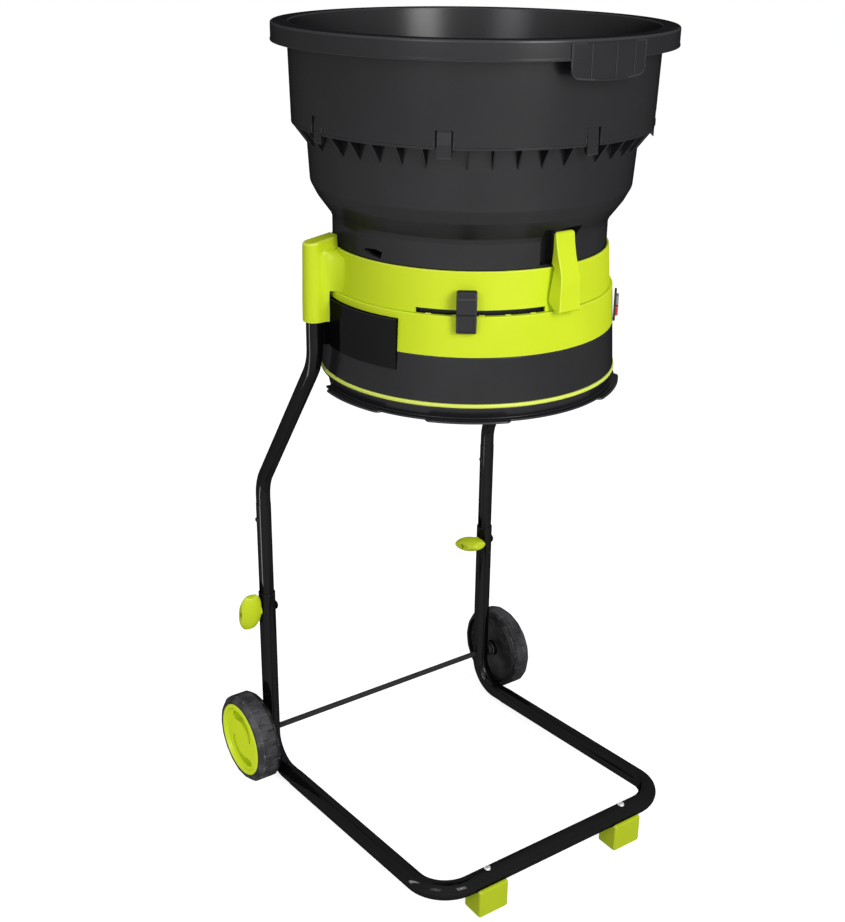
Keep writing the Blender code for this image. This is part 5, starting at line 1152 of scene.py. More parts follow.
LEVER_TOP = 0.8355
LEVER_FRONT = ((PIN_Z - 0.0080, 0.1855), (PIN_Z - 0.0066, 0.1870), (PIN_Z + 0.0298, 0.1858),
               (COLLAR_TOP_Z + 0.0013, 0.1824),
               (LEVER_TOP - 0.0240, 0.1777), (LEVER_TOP - 0.0120, 0.1748), (LEVER_TOP, 0.1730))
LEVER_BACK = ((PIN_Z - 0.0080, 0.1800), (PIN_Z + 0.0020, 0.1712), (COLLAR_TOP_Z + 0.0006, 0.1712),
              (COLLAR_TOP_Z + 0.0040, 0.1668), (LEVER_TOP - 0.0200, 0.1688), (LEVER_TOP, 0.1694))
LEVER_NOSE = ((PIN_Z, 0.0146), (COLLAR_TOP_Z, 0.0128), (LEVER_TOP, 0.0134))
LEVER_REAR = ((PIN_Z - 0.0080, 0.0150), (PIN_Z + 0.0020, 0.0178), (PIN_Z + 0.0100, 0.0178),
              (PIN_Z + 0.0300, 0.0140), (COLLAR_TOP_Z + 0.0013, 0.0122), (LEVER_TOP, 0.0130))


def lever_section(z, edge):
    """The lever cut at one height: a deep wedge at the foot, a flat tongue at the head."""
    nose, rear = between(z, LEVER_NOSE) - edge, between(z, LEVER_REAR) - edge
    front, back = between(z, LEVER_FRONT) - edge, between(z, LEVER_BACK) + min(edge, 0.0006)
    return rounded([(-rear, back, 0.0004), (rear, back, 0.0004), (nose, front, 0.0012),
                    (-nose, front, 0.0012)])


def lever(angle):
    place = facing(angle)
    rows = [(PIN_Z - 0.0080, 0.0), (PIN_Z - 0.0066, 0.0), (PIN_Z + 0.0020, 0.0), (PIN_Z + 0.0100, 0.0)]
    rows += [(PIN_Z + 0.0100 + 0.0050 * k, 0.0) for k in range(1, 6)]
    rows += [(COLLAR_TOP_Z + 0.0006, 0.0), (COLLAR_TOP_Z + 0.0040, 0.0), (LEVER_TOP - 0.0240, 0.0),
             (LEVER_TOP - 0.0180, 0.0), (LEVER_TOP - 0.0120, 0.0), (LEVER_TOP - 0.0030, 0.0),
             (LEVER_TOP - 0.0010, 0.0006), (LEVER_TOP, 0.0022)]
    return loft([[place @ Vector((x, y, z)) for x, y in lever_section(z, edge)] for z, edge in rows])


def lever_slot(angle):
    clear, skin = COLLAR_LOW_R + 4 * GAP, 0.1860
    outline = [(clear - 0.02, PIN_Z - 0.02), (skin, PIN_Z - 0.02), (skin, PIN_Z + 0.0030),
               (PIN_Y + 0.0010, PIN_Z + FOOT_R), (clear - 0.02, PIN_Z + FOOT_R)]
    return pushed(outline, -0.0051, 0.0051, angle)


print("the lever is", round(1000 * (LEVER_TOP - PIN_Z + 0.0080), 1), "mm high")

# %% [markdown]
# Front and rear have the same lever at two angles. Each gets its slot and its hole, and a
# zinc-plated pin goes through it.

# %% Latch levers and pins
for name, angle in (("front", 0.0), ("rear", 180.0)):
    latch = thing("latch_" + name, lever(angle))
    y = PIN_Y * (-1 if name == "front" else 1)
    carved(latch, lever_slot(angle), rod(PIN_R + GAP, (-0.0103, y, PIN_Z), (0.03, y, PIN_Z)))
    dress(latch, "latch_lever_" + name, LIME)
    pin = softened(rod(PIN_R, (-0.0100, y, PIN_Z), (0.0128, y, PIN_Z), 32), 0.0004, 2)
    dress(thing("pin_" + name, pin), "latch_pin_" + name, ZINC)

# %% [markdown]
# ## Coarseness slider
#
# The knob on the slot is one moulding. A fine groove parts it into a lower half on the band and an
# upper one with a sloped head, and the lower half has a shallow sunk face. Both are carved after
# the edges are rounded, because a groove in the outline would hold the roundings back. A tongue
# behind the knob goes through the slot to the sleeve inside.

# %% Slider
SLIDER_ANGLE = 37.5


def slider_outline():
    low, high, step = COLLAR_Z - 0.0170, COLLAR_Z + 0.0295, COLLAR_Z + GAP
    band_face = BAND_TOP_R + (BAND_LOW_R - BAND_TOP_R) / 0.0459 * (COLLAR_Z - low) + 2 * GAP
    collar_face, front = COLLAR_LOW_R + 2 * GAP, band_face + 0.0078
    return rounded([
        (band_face, low, 0.0), (front, low, 0.0032), (front, high - 0.0110, 0.0060),
        (front + 0.0010, high - 0.0075, 0.0030), (front - 0.0034, high, 0.0028),
        (collar_face, high, 0.0), (collar_face, step, 0.0), (band_face, step, 0.0)])


knob_block = pushed(slider_outline(), -0.01125, 0.01125, SLIDER_ANGLE)
slider = thing("coarseness_slider", softened(knob_block, 0.0017, 4, 50.0))
knob_face = max(y for y, z in slider_outline())
split, groove = COLLAR_Z + 0.0043, knob_face - 0.0024
carved(slider, block((-0.02, groove, split - 0.0006), (0.02, groove + 0.02, split + 0.0006), SLIDER_ANGLE))
slider_front = knob_face - 0.0010
carved(slider, softened(block((-0.0085, slider_front - 0.0006, COLLAR_Z - 0.0140),
                              (0.0085, slider_front + 0.0100, COLLAR_Z + 0.0008), SLIDER_ANGLE), 0.0008, 2))
tongue = softened(block((-0.0075, CHAMBER_R - 0.0022, COLLAR_Z + 0.0013),
                        (0.0075, COLLAR_LOW_R + 0.0016, COLLAR_Z + 0.0049), SLIDER_ANGLE), 0.0003, 1)
laid_in(slider, tongue)
dress(slider, "shutter_slider", BLACK)

# %% [markdown]
# ## Switch and mains inlet
#
# On the machine's right side a small plate carries a grey and a red push button. They are moulded
# blocks: what makes them real is that every edge is rounded and that the buttons sit in windows
# with a fine gap. The plate is flat and the band is round, so its seat is worked out first.

# %% Switch
def band_reach(angle, half_width, low):
    """How far the faceted solid's band comes out behind a flat plate, as the frame has it."""
    radius = BAND_LOW_R + (BAND_TOP_R - BAND_LOW_R) * (low - BAND_Z) / 0.0459
    facet = math.radians(360.0 / 32)
    reach = 0.0
    for i in range(49):
        off = math.asin(half_width / radius) * (2.0 * i / 48 - 1.0)
        turn = (math.radians(angle) + off) % facet - facet / 2
        reach = max(reach, radius * math.cos(facet / 2) / math.cos(turn) * math.cos(off))
    return reach + GAP


switch_face = band_reach(SWITCH_ANGLE, 0.013, MID_BAND - 0.017)
panel = block((-0.013, switch_face, MID_BAND - 0.017),
              (0.013, switch_face + 0.0028, MID_BAND + 0.017), SWITCH_ANGLE)
plate = thing("switch_panel", softened(panel, 0.0009, 3))
button_z = {"start": MID_BAND + 0.0067, "stop": MID_BAND - 0.0067}
carved(plate, *(block((-0.0078, switch_face - 0.01, z - 0.0058), (0.0078, switch_face + 0.02, z + 0.0058),
                      SWITCH_ANGLE) for z in button_z.values()))
dress(plate, "switch_plate", BLACK)
for name, finish in (("start", GREY), ("stop", RED)):
    z = button_z[name]
    cap = softened(block((-0.0075, switch_face + GAP, z - 0.0055),
                         (0.0075, switch_face + GAP + 0.0055, z + 0.0055),
                         SWITCH_ANGLE), 0.0013, 3)
    dress(thing("push_button_" + name, cap), name + "_button", finish)

# %% [markdown]
# At the rear a deep shroud surrounds the two blades of the inlet. It is a block with large
# roundings, and a well is cut into it that leaves a thin wall and a floor for the blades.

# %% Mains inlet
INLET_ANGLE = -160.0
inlet_face = band_reach(INLET_ANGLE, 0.019, MID_BAND - 0.014)
outside = block((-0.019, inlet_face, MID_BAND - 0.014),
                (0.019, inlet_face + 0.018, MID_BAND + 0.014), INLET_ANGLE)
shroud = thing("inlet_shroud", softened(outside, 0.0030, 4))
well = softened(block((-0.0155, inlet_face + 0.0030, MID_BAND - 0.0105),
                      (0.0155, inlet_face + 0.028, MID_BAND + 0.0105), INLET_ANGLE), 0.0015, 3)
carved(shroud, well)
dress(shroud, "power_inlet", BLACK)
for name, side in (("a", -1), ("b", 1)):
    x = side * 0.0064
    blade = softened(block((x - 0.0008, inlet_face + 0.0033, MID_BAND - 0.0032),
                           (x + 0.0008, inlet_face + 0.0163, MID_BAND + 0.0032), INLET_ANGLE), 0.0004, 2)
    dress(thing("blade_" + name, blade), "inlet_blade_" + name, BRASS)

# %% [markdown]
# ## Motor and grate
#
# Through the mouth and down the hopper one sees the cutting gear. A four-armed carrier holds the
# motor below and a fixed grate above; a sleeve with four blades turns over the grate and opens or
# closes it. They are turned rings with arms laid in.

# %% Motor carrier and grate
SPIDER_Z, SPIDER_TOP, HUB_IN, SECTOR = 0.6718, 0.6868, 0.0500, 21.0


def softly(corners, radius=0.0006, steps=2):
    """The same small rounding on every corner of an outline."""
    return rounded([(x, y, 0.0 if x == 0.0 else radius) for x, y in corners], steps)


def ring(inner, outer, low, high, radius=0.0006, **span):
    return turned(softly([(inner, low), (outer, low), (outer, high), (inner, high)], radius), **span)


rim = LEDGE_R - 0.0050
carrier = thing("motor_carrier", ring(rim, CHAMBER_R - GAP, SPIDER_Z, SPIDER_TOP))
arm = softened(block((-0.0070, -rim - 0.0040, SPIDER_Z + 0.0003),
                     (0.0070, -HUB_IN + 0.0040, SPIDER_TOP - 0.0010)),
               0.0008, 2)
grate = ring(HUB_IN - 0.0030, rim + 0.0030, SPIDER_TOP - 0.0030, SPIDER_TOP - 0.0002, 0.0005,
             start=-SECTOR, end=SECTOR)
laid_in(carrier, ring(0.0163, HUB_IN, SPIDER_Z, SPIDER_TOP, 0.0010, steps=96),
        repeated(arm, 4, start=45.0), repeated(grate, 4, start=45.0))
dress(carrier, "motor_spider", BLACK)

# %% [markdown]
# The motor hangs under the carrier: a drawn can with eight upright vents, a black cap at its foot
# and a bearing at its top. Each is turned about the axis.

# %% Motor
MOTOR_R, SHAFT_R = 0.0460, 0.0060
can_low = SPIDER_Z - GAP - 0.0860
can_outline = rounded([(0.0, can_low, 0.0), (MOTOR_R, can_low, 0.0006), (MOTOR_R, SPIDER_Z - GAP, 0.0110),
                       (SHAFT_R + GAP, SPIDER_Z - GAP, 0.0005), (SHAFT_R + GAP, SPIDER_Z - 0.0303, 0.0),
                       (0.0, SPIDER_Z - 0.0303, 0.0)], 5)
can = thing("motor_body", turned(can_outline, steps=96))
vents = [softened(block((-0.0030, MOTOR_R - 0.0030, can_low + 0.0120),
                        (0.0030, MOTOR_R + 0.0100, can_low + 0.0420),
                        22.5 + 45.0 * i), 0.0012, 2) for i in range(8)]
carved(can, *vents)
dress(can, "motor_can", DRAWN)
cap_low = SPIDER_Z - 0.0860 - 2 * GAP - 0.0110
cap_outline = rounded([(0.0, cap_low, 0.0), (MOTOR_R * 0.55, cap_low, 0.0030),
                       (MOTOR_R * 0.92, cap_low + 0.0040, 0.0060),
                       (MOTOR_R, cap_low + 0.0090, 0.0020), (MOTOR_R, cap_low + 0.0110, 0.0005),
                       (0.0, cap_low + 0.0110, 0.0)])
dress(thing("motor_foot", turned(cap_outline, steps=96)), "motor_end_cap", BLACK)
dress(thing("shaft_bearing", ring(SHAFT_R + GAP, 0.0160, SPIDER_TOP - 0.0090, SPIDER_TOP - 0.0010, steps=64)),
      "upper_bearing", ZINC)

# %% [markdown]
# The sleeve lies inside the chamber and has to clear the flats of the solid's 32 sides, so its
# radius follows from them. Four blades reach in over the grate, and a window takes the tongue.

# %% Grate sleeve
SHUTTER_Z = 0.6871
sleeve_out = CHAMBER_R * math.cos(math.pi / 32) - GAP
shutter = thing("grate_sleeve", ring(sleeve_out - 0.0022, sleeve_out, SHUTTER_Z, SHUTTER_Z + 0.0720, 0.0005))
vane = ring(HUB_IN - 0.0060, sleeve_out - 0.0014, SHUTTER_Z + 0.0001, SHUTTER_Z + 0.0028, 0.0005,
            start=-SECTOR, end=SECTOR)
carved(shutter, block((-0.0078, sleeve_out - 0.0062, COLLAR_Z + 0.0010),
                      (0.0078, sleeve_out + 0.004, COLLAR_Z + 0.0052),
                      SLIDER_ANGLE))
laid_in(shutter, repeated(vane, 4, start=67.0))
dress(shutter, "shutter_ring", BLACK)

# %% [markdown]
# The nylon lines of the rotor and the steel tubes of the stand are all tubes on a path, so a
# second tree makes them. It turns a chain of points into a curve and skins it with a circle. A
# steel tube then gets its wall from Solidify and its filed ends from a narrow Bevel.

# %% A tube tree
def tube_tree():
    group, tree, wires = new_tree("bent_tube", (
        ("Radius", "Float"), ("Sides", "Int"), ("Closed ends", "Bool"), ("Finish", "Material")))
    path = tree.node("GeometryNodeMeshToCurve", {}, {0: wires["Geometry"]})
    profile = tree.node("GeometryNodeCurvePrimitiveCircle", {"mode": "RADIUS"}, {
        "Resolution": wires["Sides"], "Radius": wires["Radius"]})
    skin = tree.node("GeometryNodeCurveToMesh", {}, {
        "Curve": path, "Profile Curve": profile, "Fill Caps": wires["Closed ends"]})
    end_tree(group, tree, skin, wires["Finish"])
    return group


TUBE = tube_tree()


def path_thing(name, points):
    mesh = bpy.data.meshes.new(name)
    mesh.from_pydata(points, [(i, i + 1) for i in range(len(points) - 1)], [])
    obj = bpy.data.objects.new(name, mesh)
    bpy.context.scene.collection.objects.link(obj)
    return obj


def tube(name, points, radius, finish, sides=48, wall=0.0):
    """A tube along a path; with a wall it is hollow, with rounded cut ends."""
    obj = run_tree(path_thing(name, points), TUBE, {
        "Radius": radius, "Sides": sides, "Closed ends": wall == 0.0, "Finish": finish})
    bm = bmesh.new()
    bm.from_mesh(obj.data)
    tidy(bm)
    bm.to_mesh(obj.data)
    bm.free()
    if wall:
        shell = obj.modifiers.new("wall", "SOLIDIFY")
        shell.thickness, shell.offset, shell.use_rim = wall, -1.0, True
        edge = obj.modifiers.new("edge", "BEVEL")
        edge.width, edge.segments = 0.0003, 2
        edge.limit_method, edge.angle_limit = "ANGLE", math.radians(60)
        settle(obj)
    return obj


print("tube inputs:", [i.name for i in TUBE.interface.items_tree])

# %% [markdown]
# A route is a few corners, and each of them is bent to an arc of one radius. The arc's centre lies
# on the line that halves the corner, and its first point is turned about that centre step by step.

# %% Bent routes
def bent(corners, radius, steps=14):
    """A route whose corners are bent to one radius."""
    points = [Vector(corners[0])]
    for before, corner, after in zip(corners, corners[1:], corners[2:]):
        corner = Vector(corner)
        into, out = (corner - Vector(before)).normalized(), (Vector(after) - corner).normalized()
        turn = into.angle(out)
        centre = corner + (out - into).normalized() * radius / math.cos(turn / 2)
        arm = corner - into * radius * math.tan(turn / 2) - centre
        axis = into.cross(out).normalized()
        points += [centre + Matrix.Rotation(turn * i / steps, 3, axis) @ arm for i in range(steps + 1)]
    return points + [Vector(corners[-1])]


print("a square corner becomes", len(bent([(0, 0, 0), (1, 0, 0), (1, 1, 0)], 0.1)), "points")

# %% [markdown]
# The rotor is a disc with two posts. Each nylon line loops round a post and throws both of its
# ends out, a clamp washer holds it down, and a nut holds the disc on the motor's shaft.

# %% Rotor
HEAD_Z, POST_TOP, POST_ORBIT, POST_R, LINE_R, LINE_REACH = 0.7128, 0.7278, 0.0480, 0.0095, 0.0013, 0.1500
head_top = HEAD_Z + 0.0090
bore = SHAFT_R + GAP
head_outline = rounded([
    (bore, HEAD_Z - 0.0100, 0.0004), (0.0180, HEAD_Z - 0.0100, 0.0010), (0.0220, HEAD_Z, 0.0020),
    (0.0650, HEAD_Z, 0.0035), (0.0650, head_top, 0.0035), (0.0240, head_top, 0.0020),
    (0.0200, POST_TOP, 0.0012),
    (bore, POST_TOP, 0.0004)])
head = thing("cutter_head", turned(head_outline, steps=128))
for side in (-1, 1):
    x = side * POST_ORBIT
    laid_in(head, softened(rod(POST_R, (x, 0, head_top - 0.002), (x, 0, POST_TOP)), 0.0006, 2))
dress(head, "line_head", BLACK)

shaft_low, shaft_top = SPIDER_Z - GAP - 0.0297, POST_TOP + 0.0115
shaft_outline = rounded([(0.0, shaft_low, 0.0), (SHAFT_R, shaft_low, 0.0004), (SHAFT_R, shaft_top, 0.0012),
                         (0.0, shaft_top, 0.0)])
dress(thing("rotor_shaft", turned(shaft_outline, steps=64)), "motor_shaft", ZINC)


def line_path(side):
    z = head_top + GAP + LINE_R
    wrap = POST_R + GAP + LINE_R
    ends = [Vector((side * LINE_REACH * math.cos(a), LINE_REACH * math.sin(a), z))
            for a in (math.radians(24.0), math.radians(-24.0))]
    loop = [Vector((side * (POST_ORBIT + wrap * math.cos(a)), wrap * math.sin(a), z))
            for a in (math.radians(62.0 + 236.0 * i / 40) for i in range(41))]
    return [ends[0]] + loop + [ends[1]]


for name, side in (("a", 1), ("b", -1)):
    clamp_low = POST_TOP + GAP
    washer = rounded([(0.0, clamp_low, 0.0), (0.0130, clamp_low, 0.0004),
                      (0.0130, clamp_low + 0.0025, 0.0010),
                      (0.0110, clamp_low + 0.0045, 0.0010), (0.0, clamp_low + 0.0045, 0.0)])
    disc = placed(turned(washer, steps=64), Matrix.Translation((side * POST_ORBIT, 0, 0)))
    dress(thing("clamp_washer_" + name, disc), "line_clamp_" + name, ZINC)
    dress(tube("nylon_line_" + name, line_path(side), LINE_R, NYLON, 16), "cutting_line_" + name, NYLON)

nut_low, nut_high = POST_TOP + GAP, POST_TOP + GAP + 0.0075
nut = loft([[Vector((0.0105 * math.cos(a), 0.0105 * math.sin(a), z))
             for a in (math.pi / 3 * k for k in range(6))] for z in (nut_low, nut_high)])
nut = carved(thing("shaft_nut", softened(nut, 0.0006, 2, 20.0)), rod(bore, (0, 0, 0.72), (0, 0, 0.75)))
dress(nut, "head_nut", ZINC)

# %% [markdown]
# ## Legs and base
#
# Each leg is an upper and a lower tube with a slotted one between them. The upper tube leaves the
# collar, bends back, goes upright and ends in a thinner plug. The lower one bends forwards at the
# floor and meets the base. All of them are the tube tree run along a route with bent corners. The
# tubes are gloss black, so what one sees of them is mostly their reflections: their skin has to
# be smooth, with many sides and short steps in the bends.

# %% Legs
LOWER_R, MID_R, BASE_R, TUBE_WALL = 0.0115, 0.0101, 0.0120, 0.0011
BOLT_Z, BOLT_R, SNAP_Z, SNAP_R = 0.2620, 0.0030, 0.3980, 0.0034
BASE_REAR_Z, BASE_FRONT_Y, BASE_FRONT_Z = 0.0114, -0.2183, 0.0446
WHEEL_R, BASE_JOINT_Y = 0.0632, 0.1256


def base_point(x, y):
    """A point on the straight run from the rear bend to the crossbar."""
    share = (LEG_Y - y) / (LEG_Y - BASE_FRONT_Y)
    return Vector((x, y, BASE_REAR_Z + share * (BASE_FRONT_Z - BASE_REAR_Z)))


def slot_sketch(x):
    r, low, high = BOLT_R + 2 * GAP, BOLT_Z - 0.0600, BOLT_Z + 0.0400
    outline = [(r * math.cos(math.pi * i / 10), high + r * math.sin(math.pi * i / 10)) for i in range(11)]
    outline += [(-r * math.cos(math.pi * i / 10), low - r * math.sin(math.pi * i / 10)) for i in range(11)]
    return loft([[Vector((x + push, LEG_Y + y, z)) for y, z in outline] for push in (-0.02, 0.02)])


for name, side in SIDES:
    x = side * LEG_X
    route = bent([(x, UPPER_LEG_Y, 0.7988), (x, UPPER_LEG_Y, 0.6580), (x, LEG_Y, 0.4510),
                  (x, LEG_Y, 0.4204)], 0.0600)
    snap_hole = ((x - 0.002, LEG_Y, SNAP_Z), (x - 0.03, LEG_Y, SNAP_Z))
    upper = tube("upper_tube_" + name, route, UPPER_R, PAINT, 48, TUBE_WALL)
    laid_in(upper, tube("plug", [(x, LEG_Y, 0.4220), (x, LEG_Y, 0.3600)], PLUG_R, PAINT, 48, TUBE_WALL))
    dress(carved(upper, rod(SNAP_R + GAP, *snap_hole)), "upper_leg_" + name, PAINT, 50.0)
    middle = tube("slotted_tube_" + name, [(x, LEG_Y, 0.4200), (x, LEG_Y, 0.1400)], MID_R, PAINT, 48, 0.0010)
    dress(carved(middle, rod(SNAP_R + GAP, *snap_hole), slot_sketch(x)), "mid_leg_" + name, PAINT, 50.0)
    route = bent([(x, LEG_Y, 0.2860), (x, LEG_Y, BASE_REAR_Z), base_point(x, BASE_JOINT_Y)], 0.0420, 20)
    lower = tube("lower_tube_" + name, route, LOWER_R, PAINT, 48, TUBE_WALL)
    carved(lower, rod(0.0046, (x - 0.03, LEG_Y, WHEEL_R), (x + 0.03, LEG_Y, WHEEL_R)),
           rod(BOLT_R + 2 * GAP, (x - 0.03, LEG_Y, BOLT_Z), (x + 0.03, LEG_Y, BOLT_Z)))
    dress(lower, "lower_leg_" + name, PAINT, 50.0)

# %% [markdown]
# The base is one tube bent to a U, which rises a little to the front. Its two ends are drawn
# thinner and plug into the legs, and its crossbar is bored for the screws of the feet.

# %% Base
FOOT_X = 0.1125
joints = [base_point(side * LEG_X, BASE_JOINT_Y - GAP) for side in (-1, 1)]
fronts = [base_point(side * LEG_X, BASE_FRONT_Y) for side in (-1, 1)]
base = tube("base_loop", bent([joints[0], *fronts, joints[1]], 0.0480, 18), BASE_R, PAINT, 48, 0.0016)
for side, joint in zip((-1, 1), joints):
    plug = tube("plug", [joint + (fronts[0] - joints[0]).normalized() * 0.002,
                         base_point(side * LEG_X, BASE_JOINT_Y + 0.0180)], LOWER_R - TUBE_WALL - GAP, PAINT,
                40, TUBE_WALL)
    laid_in(base, plug)
carved(base, *(rod(0.0028, (side * FOOT_X, BASE_FRONT_Y, 0.0), (side * FOOT_X, BASE_FRONT_Y, 0.08), 24)
               for side in (-1, 1)))
dress(base, "base_tube", PAINT, 50.0)

# %% [markdown]
# ## Feet
#
# A foot is a rounded lime block with a seat in which the crossbar lies. The seat is cut with the
# tube's own circle, so the block closes round the bar from below. A screw from above holds it, and
# its bright head shows on the bar.

# %% Feet and their screws
def turned_at(corners, place, steps=48):
    """A small turned piece laid at a place."""
    return placed(turned(corners, steps=steps), place)


for name, side in SIDES:
    x, front = side * FOOT_X, BASE_FRONT_Y - 0.0160
    lump = block((x - 0.0225, front, 0.0), (x + 0.0225, front + 0.0320, 0.0400))
    foot = thing("rubber_foot_" + name, softened(lump, 0.0030, 4))
    carved(foot, rod(BASE_R + 2 * GAP, (x - 0.05, BASE_FRONT_Y, BASE_FRONT_Z),
                     (x + 0.05, BASE_FRONT_Y, BASE_FRONT_Z), 96),
           rod(0.0028, (x, BASE_FRONT_Y, 0.0080), (x, BASE_FRONT_Y, 0.05), 24))
    dress(foot, "foot_" + name, FOOT_LIME_PAINTED_SHADE)
    head_z = BASE_FRONT_Z + BASE_R + GAP
    outline = rounded([(0.0, 0.0100, 0.0), (0.0022, 0.0100, 0.0006), (0.0022, head_z, 0.0),
                       (0.0045, head_z, 0.0005),
                       (0.0036, head_z + 0.0028, 0.0016), (0.0, head_z + 0.0028, 0.0)])
    screw = thing("foot_screw_head_" + name, turned_at(outline, Matrix.Translation((x, BASE_FRONT_Y, 0)), 32))
    carved(screw, block((x - 0.0030, BASE_FRONT_Y - 0.0004, head_z + 0.0017),
                        (x + 0.0030, BASE_FRONT_Y + 0.0004, head_z + 0.01)),
           block((x - 0.0004, BASE_FRONT_Y - 0.0030, head_z + 0.0017),
                 (x + 0.0004, BASE_FRONT_Y + 0.0030, head_z + 0.01)))
    dress(screw, "foot_screw_" + name, ZINC)

# %% [markdown]
# ## Clamps
#
# A bolt goes through each leg, and on its end sits a lime wing knob: a thick egg with blunt ends
# and a soft ridge round it, and a boss where it meets the tube. The egg starts as a ball of quads.
# A formula cuts its ends flat, raises the ridge and stretches it, and a Boolean welds the boss on.
# Above it a sprung button holds the upper tube.

# %% Bolts, knobs and snap buttons
def knob_grip(centre, tilt):
    """A thick egg with two blunt ends and a soft ridge round it."""
    bm = bmesh.new()
    bmesh.ops.create_uvsphere(bm, u_segments=64, v_segments=40, radius=1.0)
    place = Matrix.Translation(centre) @ Matrix.Rotation(math.radians(tilt), 4, "X")
    for v in bm.verts:
        x, y, z = v.co
        out, up = min(max(x, -0.86), 0.80), min(max(z, -0.88), 0.88)
        ridge = 1.0 + 0.06 * math.exp(-(y / 0.30) ** 2)
        v.co = place @ Vector((0.0174 * out, 0.0102 * y, 0.0292 * up * ridge))
    return tidy(bm)


for (name, side), tilt in zip(SIDES, (10.0, 74.0)):
    x = side * LEG_X
    head_x = x + LOWER_R + GAP
    end = x - LOWER_R - 0.0256
    outline = rounded([(0.0, end, 0.0), (BOLT_R, end, 0.0005), (BOLT_R, head_x, 0.0),
                       (0.0070, head_x, 0.0006),
                       (0.0045, head_x + 0.0032, 0.0030), (0.0, head_x + 0.0032, 0.0)])
    dress(thing("leg_bolt_" + name, turned_at(outline, across(0, LEG_Y, BOLT_Z), 40)), "clamp_bolt_" + name,
          PAINT)
    start = x - LOWER_R - GAP
    centre = Vector((start - 0.0148, LEG_Y, BOLT_Z))
    knob = thing("wing_knob_" + name, knob_grip(centre, tilt))
    boss = rod(0.0078, (start, LEG_Y, BOLT_Z), (start - 0.0100, LEG_Y, BOLT_Z), 48)
    welded(knob, softened(boss, 0.0008, 3))
    carved(knob, rod(BOLT_R + 2 * GAP, (start + 0.01, LEG_Y, BOLT_Z), (start - 0.05, LEG_Y, BOLT_Z), 32))
    dress(knob, "height_knob_" + name, LIME)
    out = x - MID_R - 0.0020
    outline = rounded([(0.0, out, 0.0), (SNAP_R, out, 0.0014), (SNAP_R, x - 0.0045, 0.0003),
                       (0.0, x - 0.0045, 0.0)])
    dress(thing("spring_button_" + name, turned_at(outline, across(0, LEG_Y, SNAP_Z), 40)),
          "snap_button_" + name, PAINT)

# %% [markdown]
# ## Wheels
#
# A wheel is a black tread with a lime cap. The tread is turned with many sides, and then its
# points are pressed in where a shallow bar lies. The cap is dished, with a raised rim, and two
# curved pockets chase each other round it. A pocket is lofted as a comma, deeper and wider
# towards one end, and cut out.

# %% Wheel shapes
WHEEL_X, WHEEL_WIDE, CAP_R = 0.2063, 0.0345, 0.0520


def wheel_outline(side, corners):
    return [(r, side * (WHEEL_X + b)) for r, b in rounded(corners)]


def pocket(side, start):
    """A comma that begins as a point near the middle and ends deep and round near the rim."""
    steps = 28
    face = WHEEL_X + WHEEL_WIDE
    sections = []
    for i in range(steps + 1):
        share = i / steps
        angle = math.radians(start + 121.0 * share)
        middle = 0.0235 + 0.0125 * share ** 0.8
        blunt = max(0.04, 1.0 - (max(0.0, share - 0.86) / 0.14) ** 2)
        half = (0.0016 + 0.0062 * share ** 0.8) * math.sqrt(blunt)
        depth = 0.0075 + 0.0165 * min(1.0, share / 0.6)
        corner = [(middle - half, face + 0.01), (middle + half, face + 0.01),
                  (middle + 0.9 * half, face - depth),
                  (middle - 0.9 * half, face - depth)]
        sections.append([Vector((side * x, LEG_Y + side * r * math.cos(angle), WHEEL_R + r * math.sin(angle)))
                         for r, x in corner])
    return loft(sections)


def treaded(bm, side):
    """Presses short bars into the tread, left and right in turn, and flattens it between them."""
    for v in bm.verts:
        y, z = v.co.y - LEG_Y, v.co.z - WHEEL_R
        r, b = math.hypot(y, z), side * v.co.x - WHEEL_X
        if r < 0.0560:
            continue
        angle = math.degrees(math.atan2(z, y)) % 20.0
        flat = math.cos(math.radians(10.0)) / math.cos(math.radians(angle - 10.0))
        half = 0 if b < WHEEL_WIDE / 2 else 1
        barred = abs(angle - (5.0, 15.0)[half]) < 0.9 and 0.0040 < b < WHEEL_WIDE - 0.0040
        sunk = 0.0011 if barred and abs(b - WHEEL_WIDE / 2) > 0.0012 else 0.0
        scale = (r * (0.35 + 0.65 * flat) - sunk) / r
        v.co.y, v.co.z = LEG_Y + y * scale, WHEEL_R + z * scale
    return bm


print("wheel", round(2000 * WHEEL_R, 1), "mm across,", round(1000 * WHEEL_WIDE, 1), "mm wide")

# %% [markdown]
# The axle goes through both legs. On each side a spacer keeps the wheel off the tube. Both wheels
# are drawn for their own side, because a mirrored copy would turn its faces inside out.

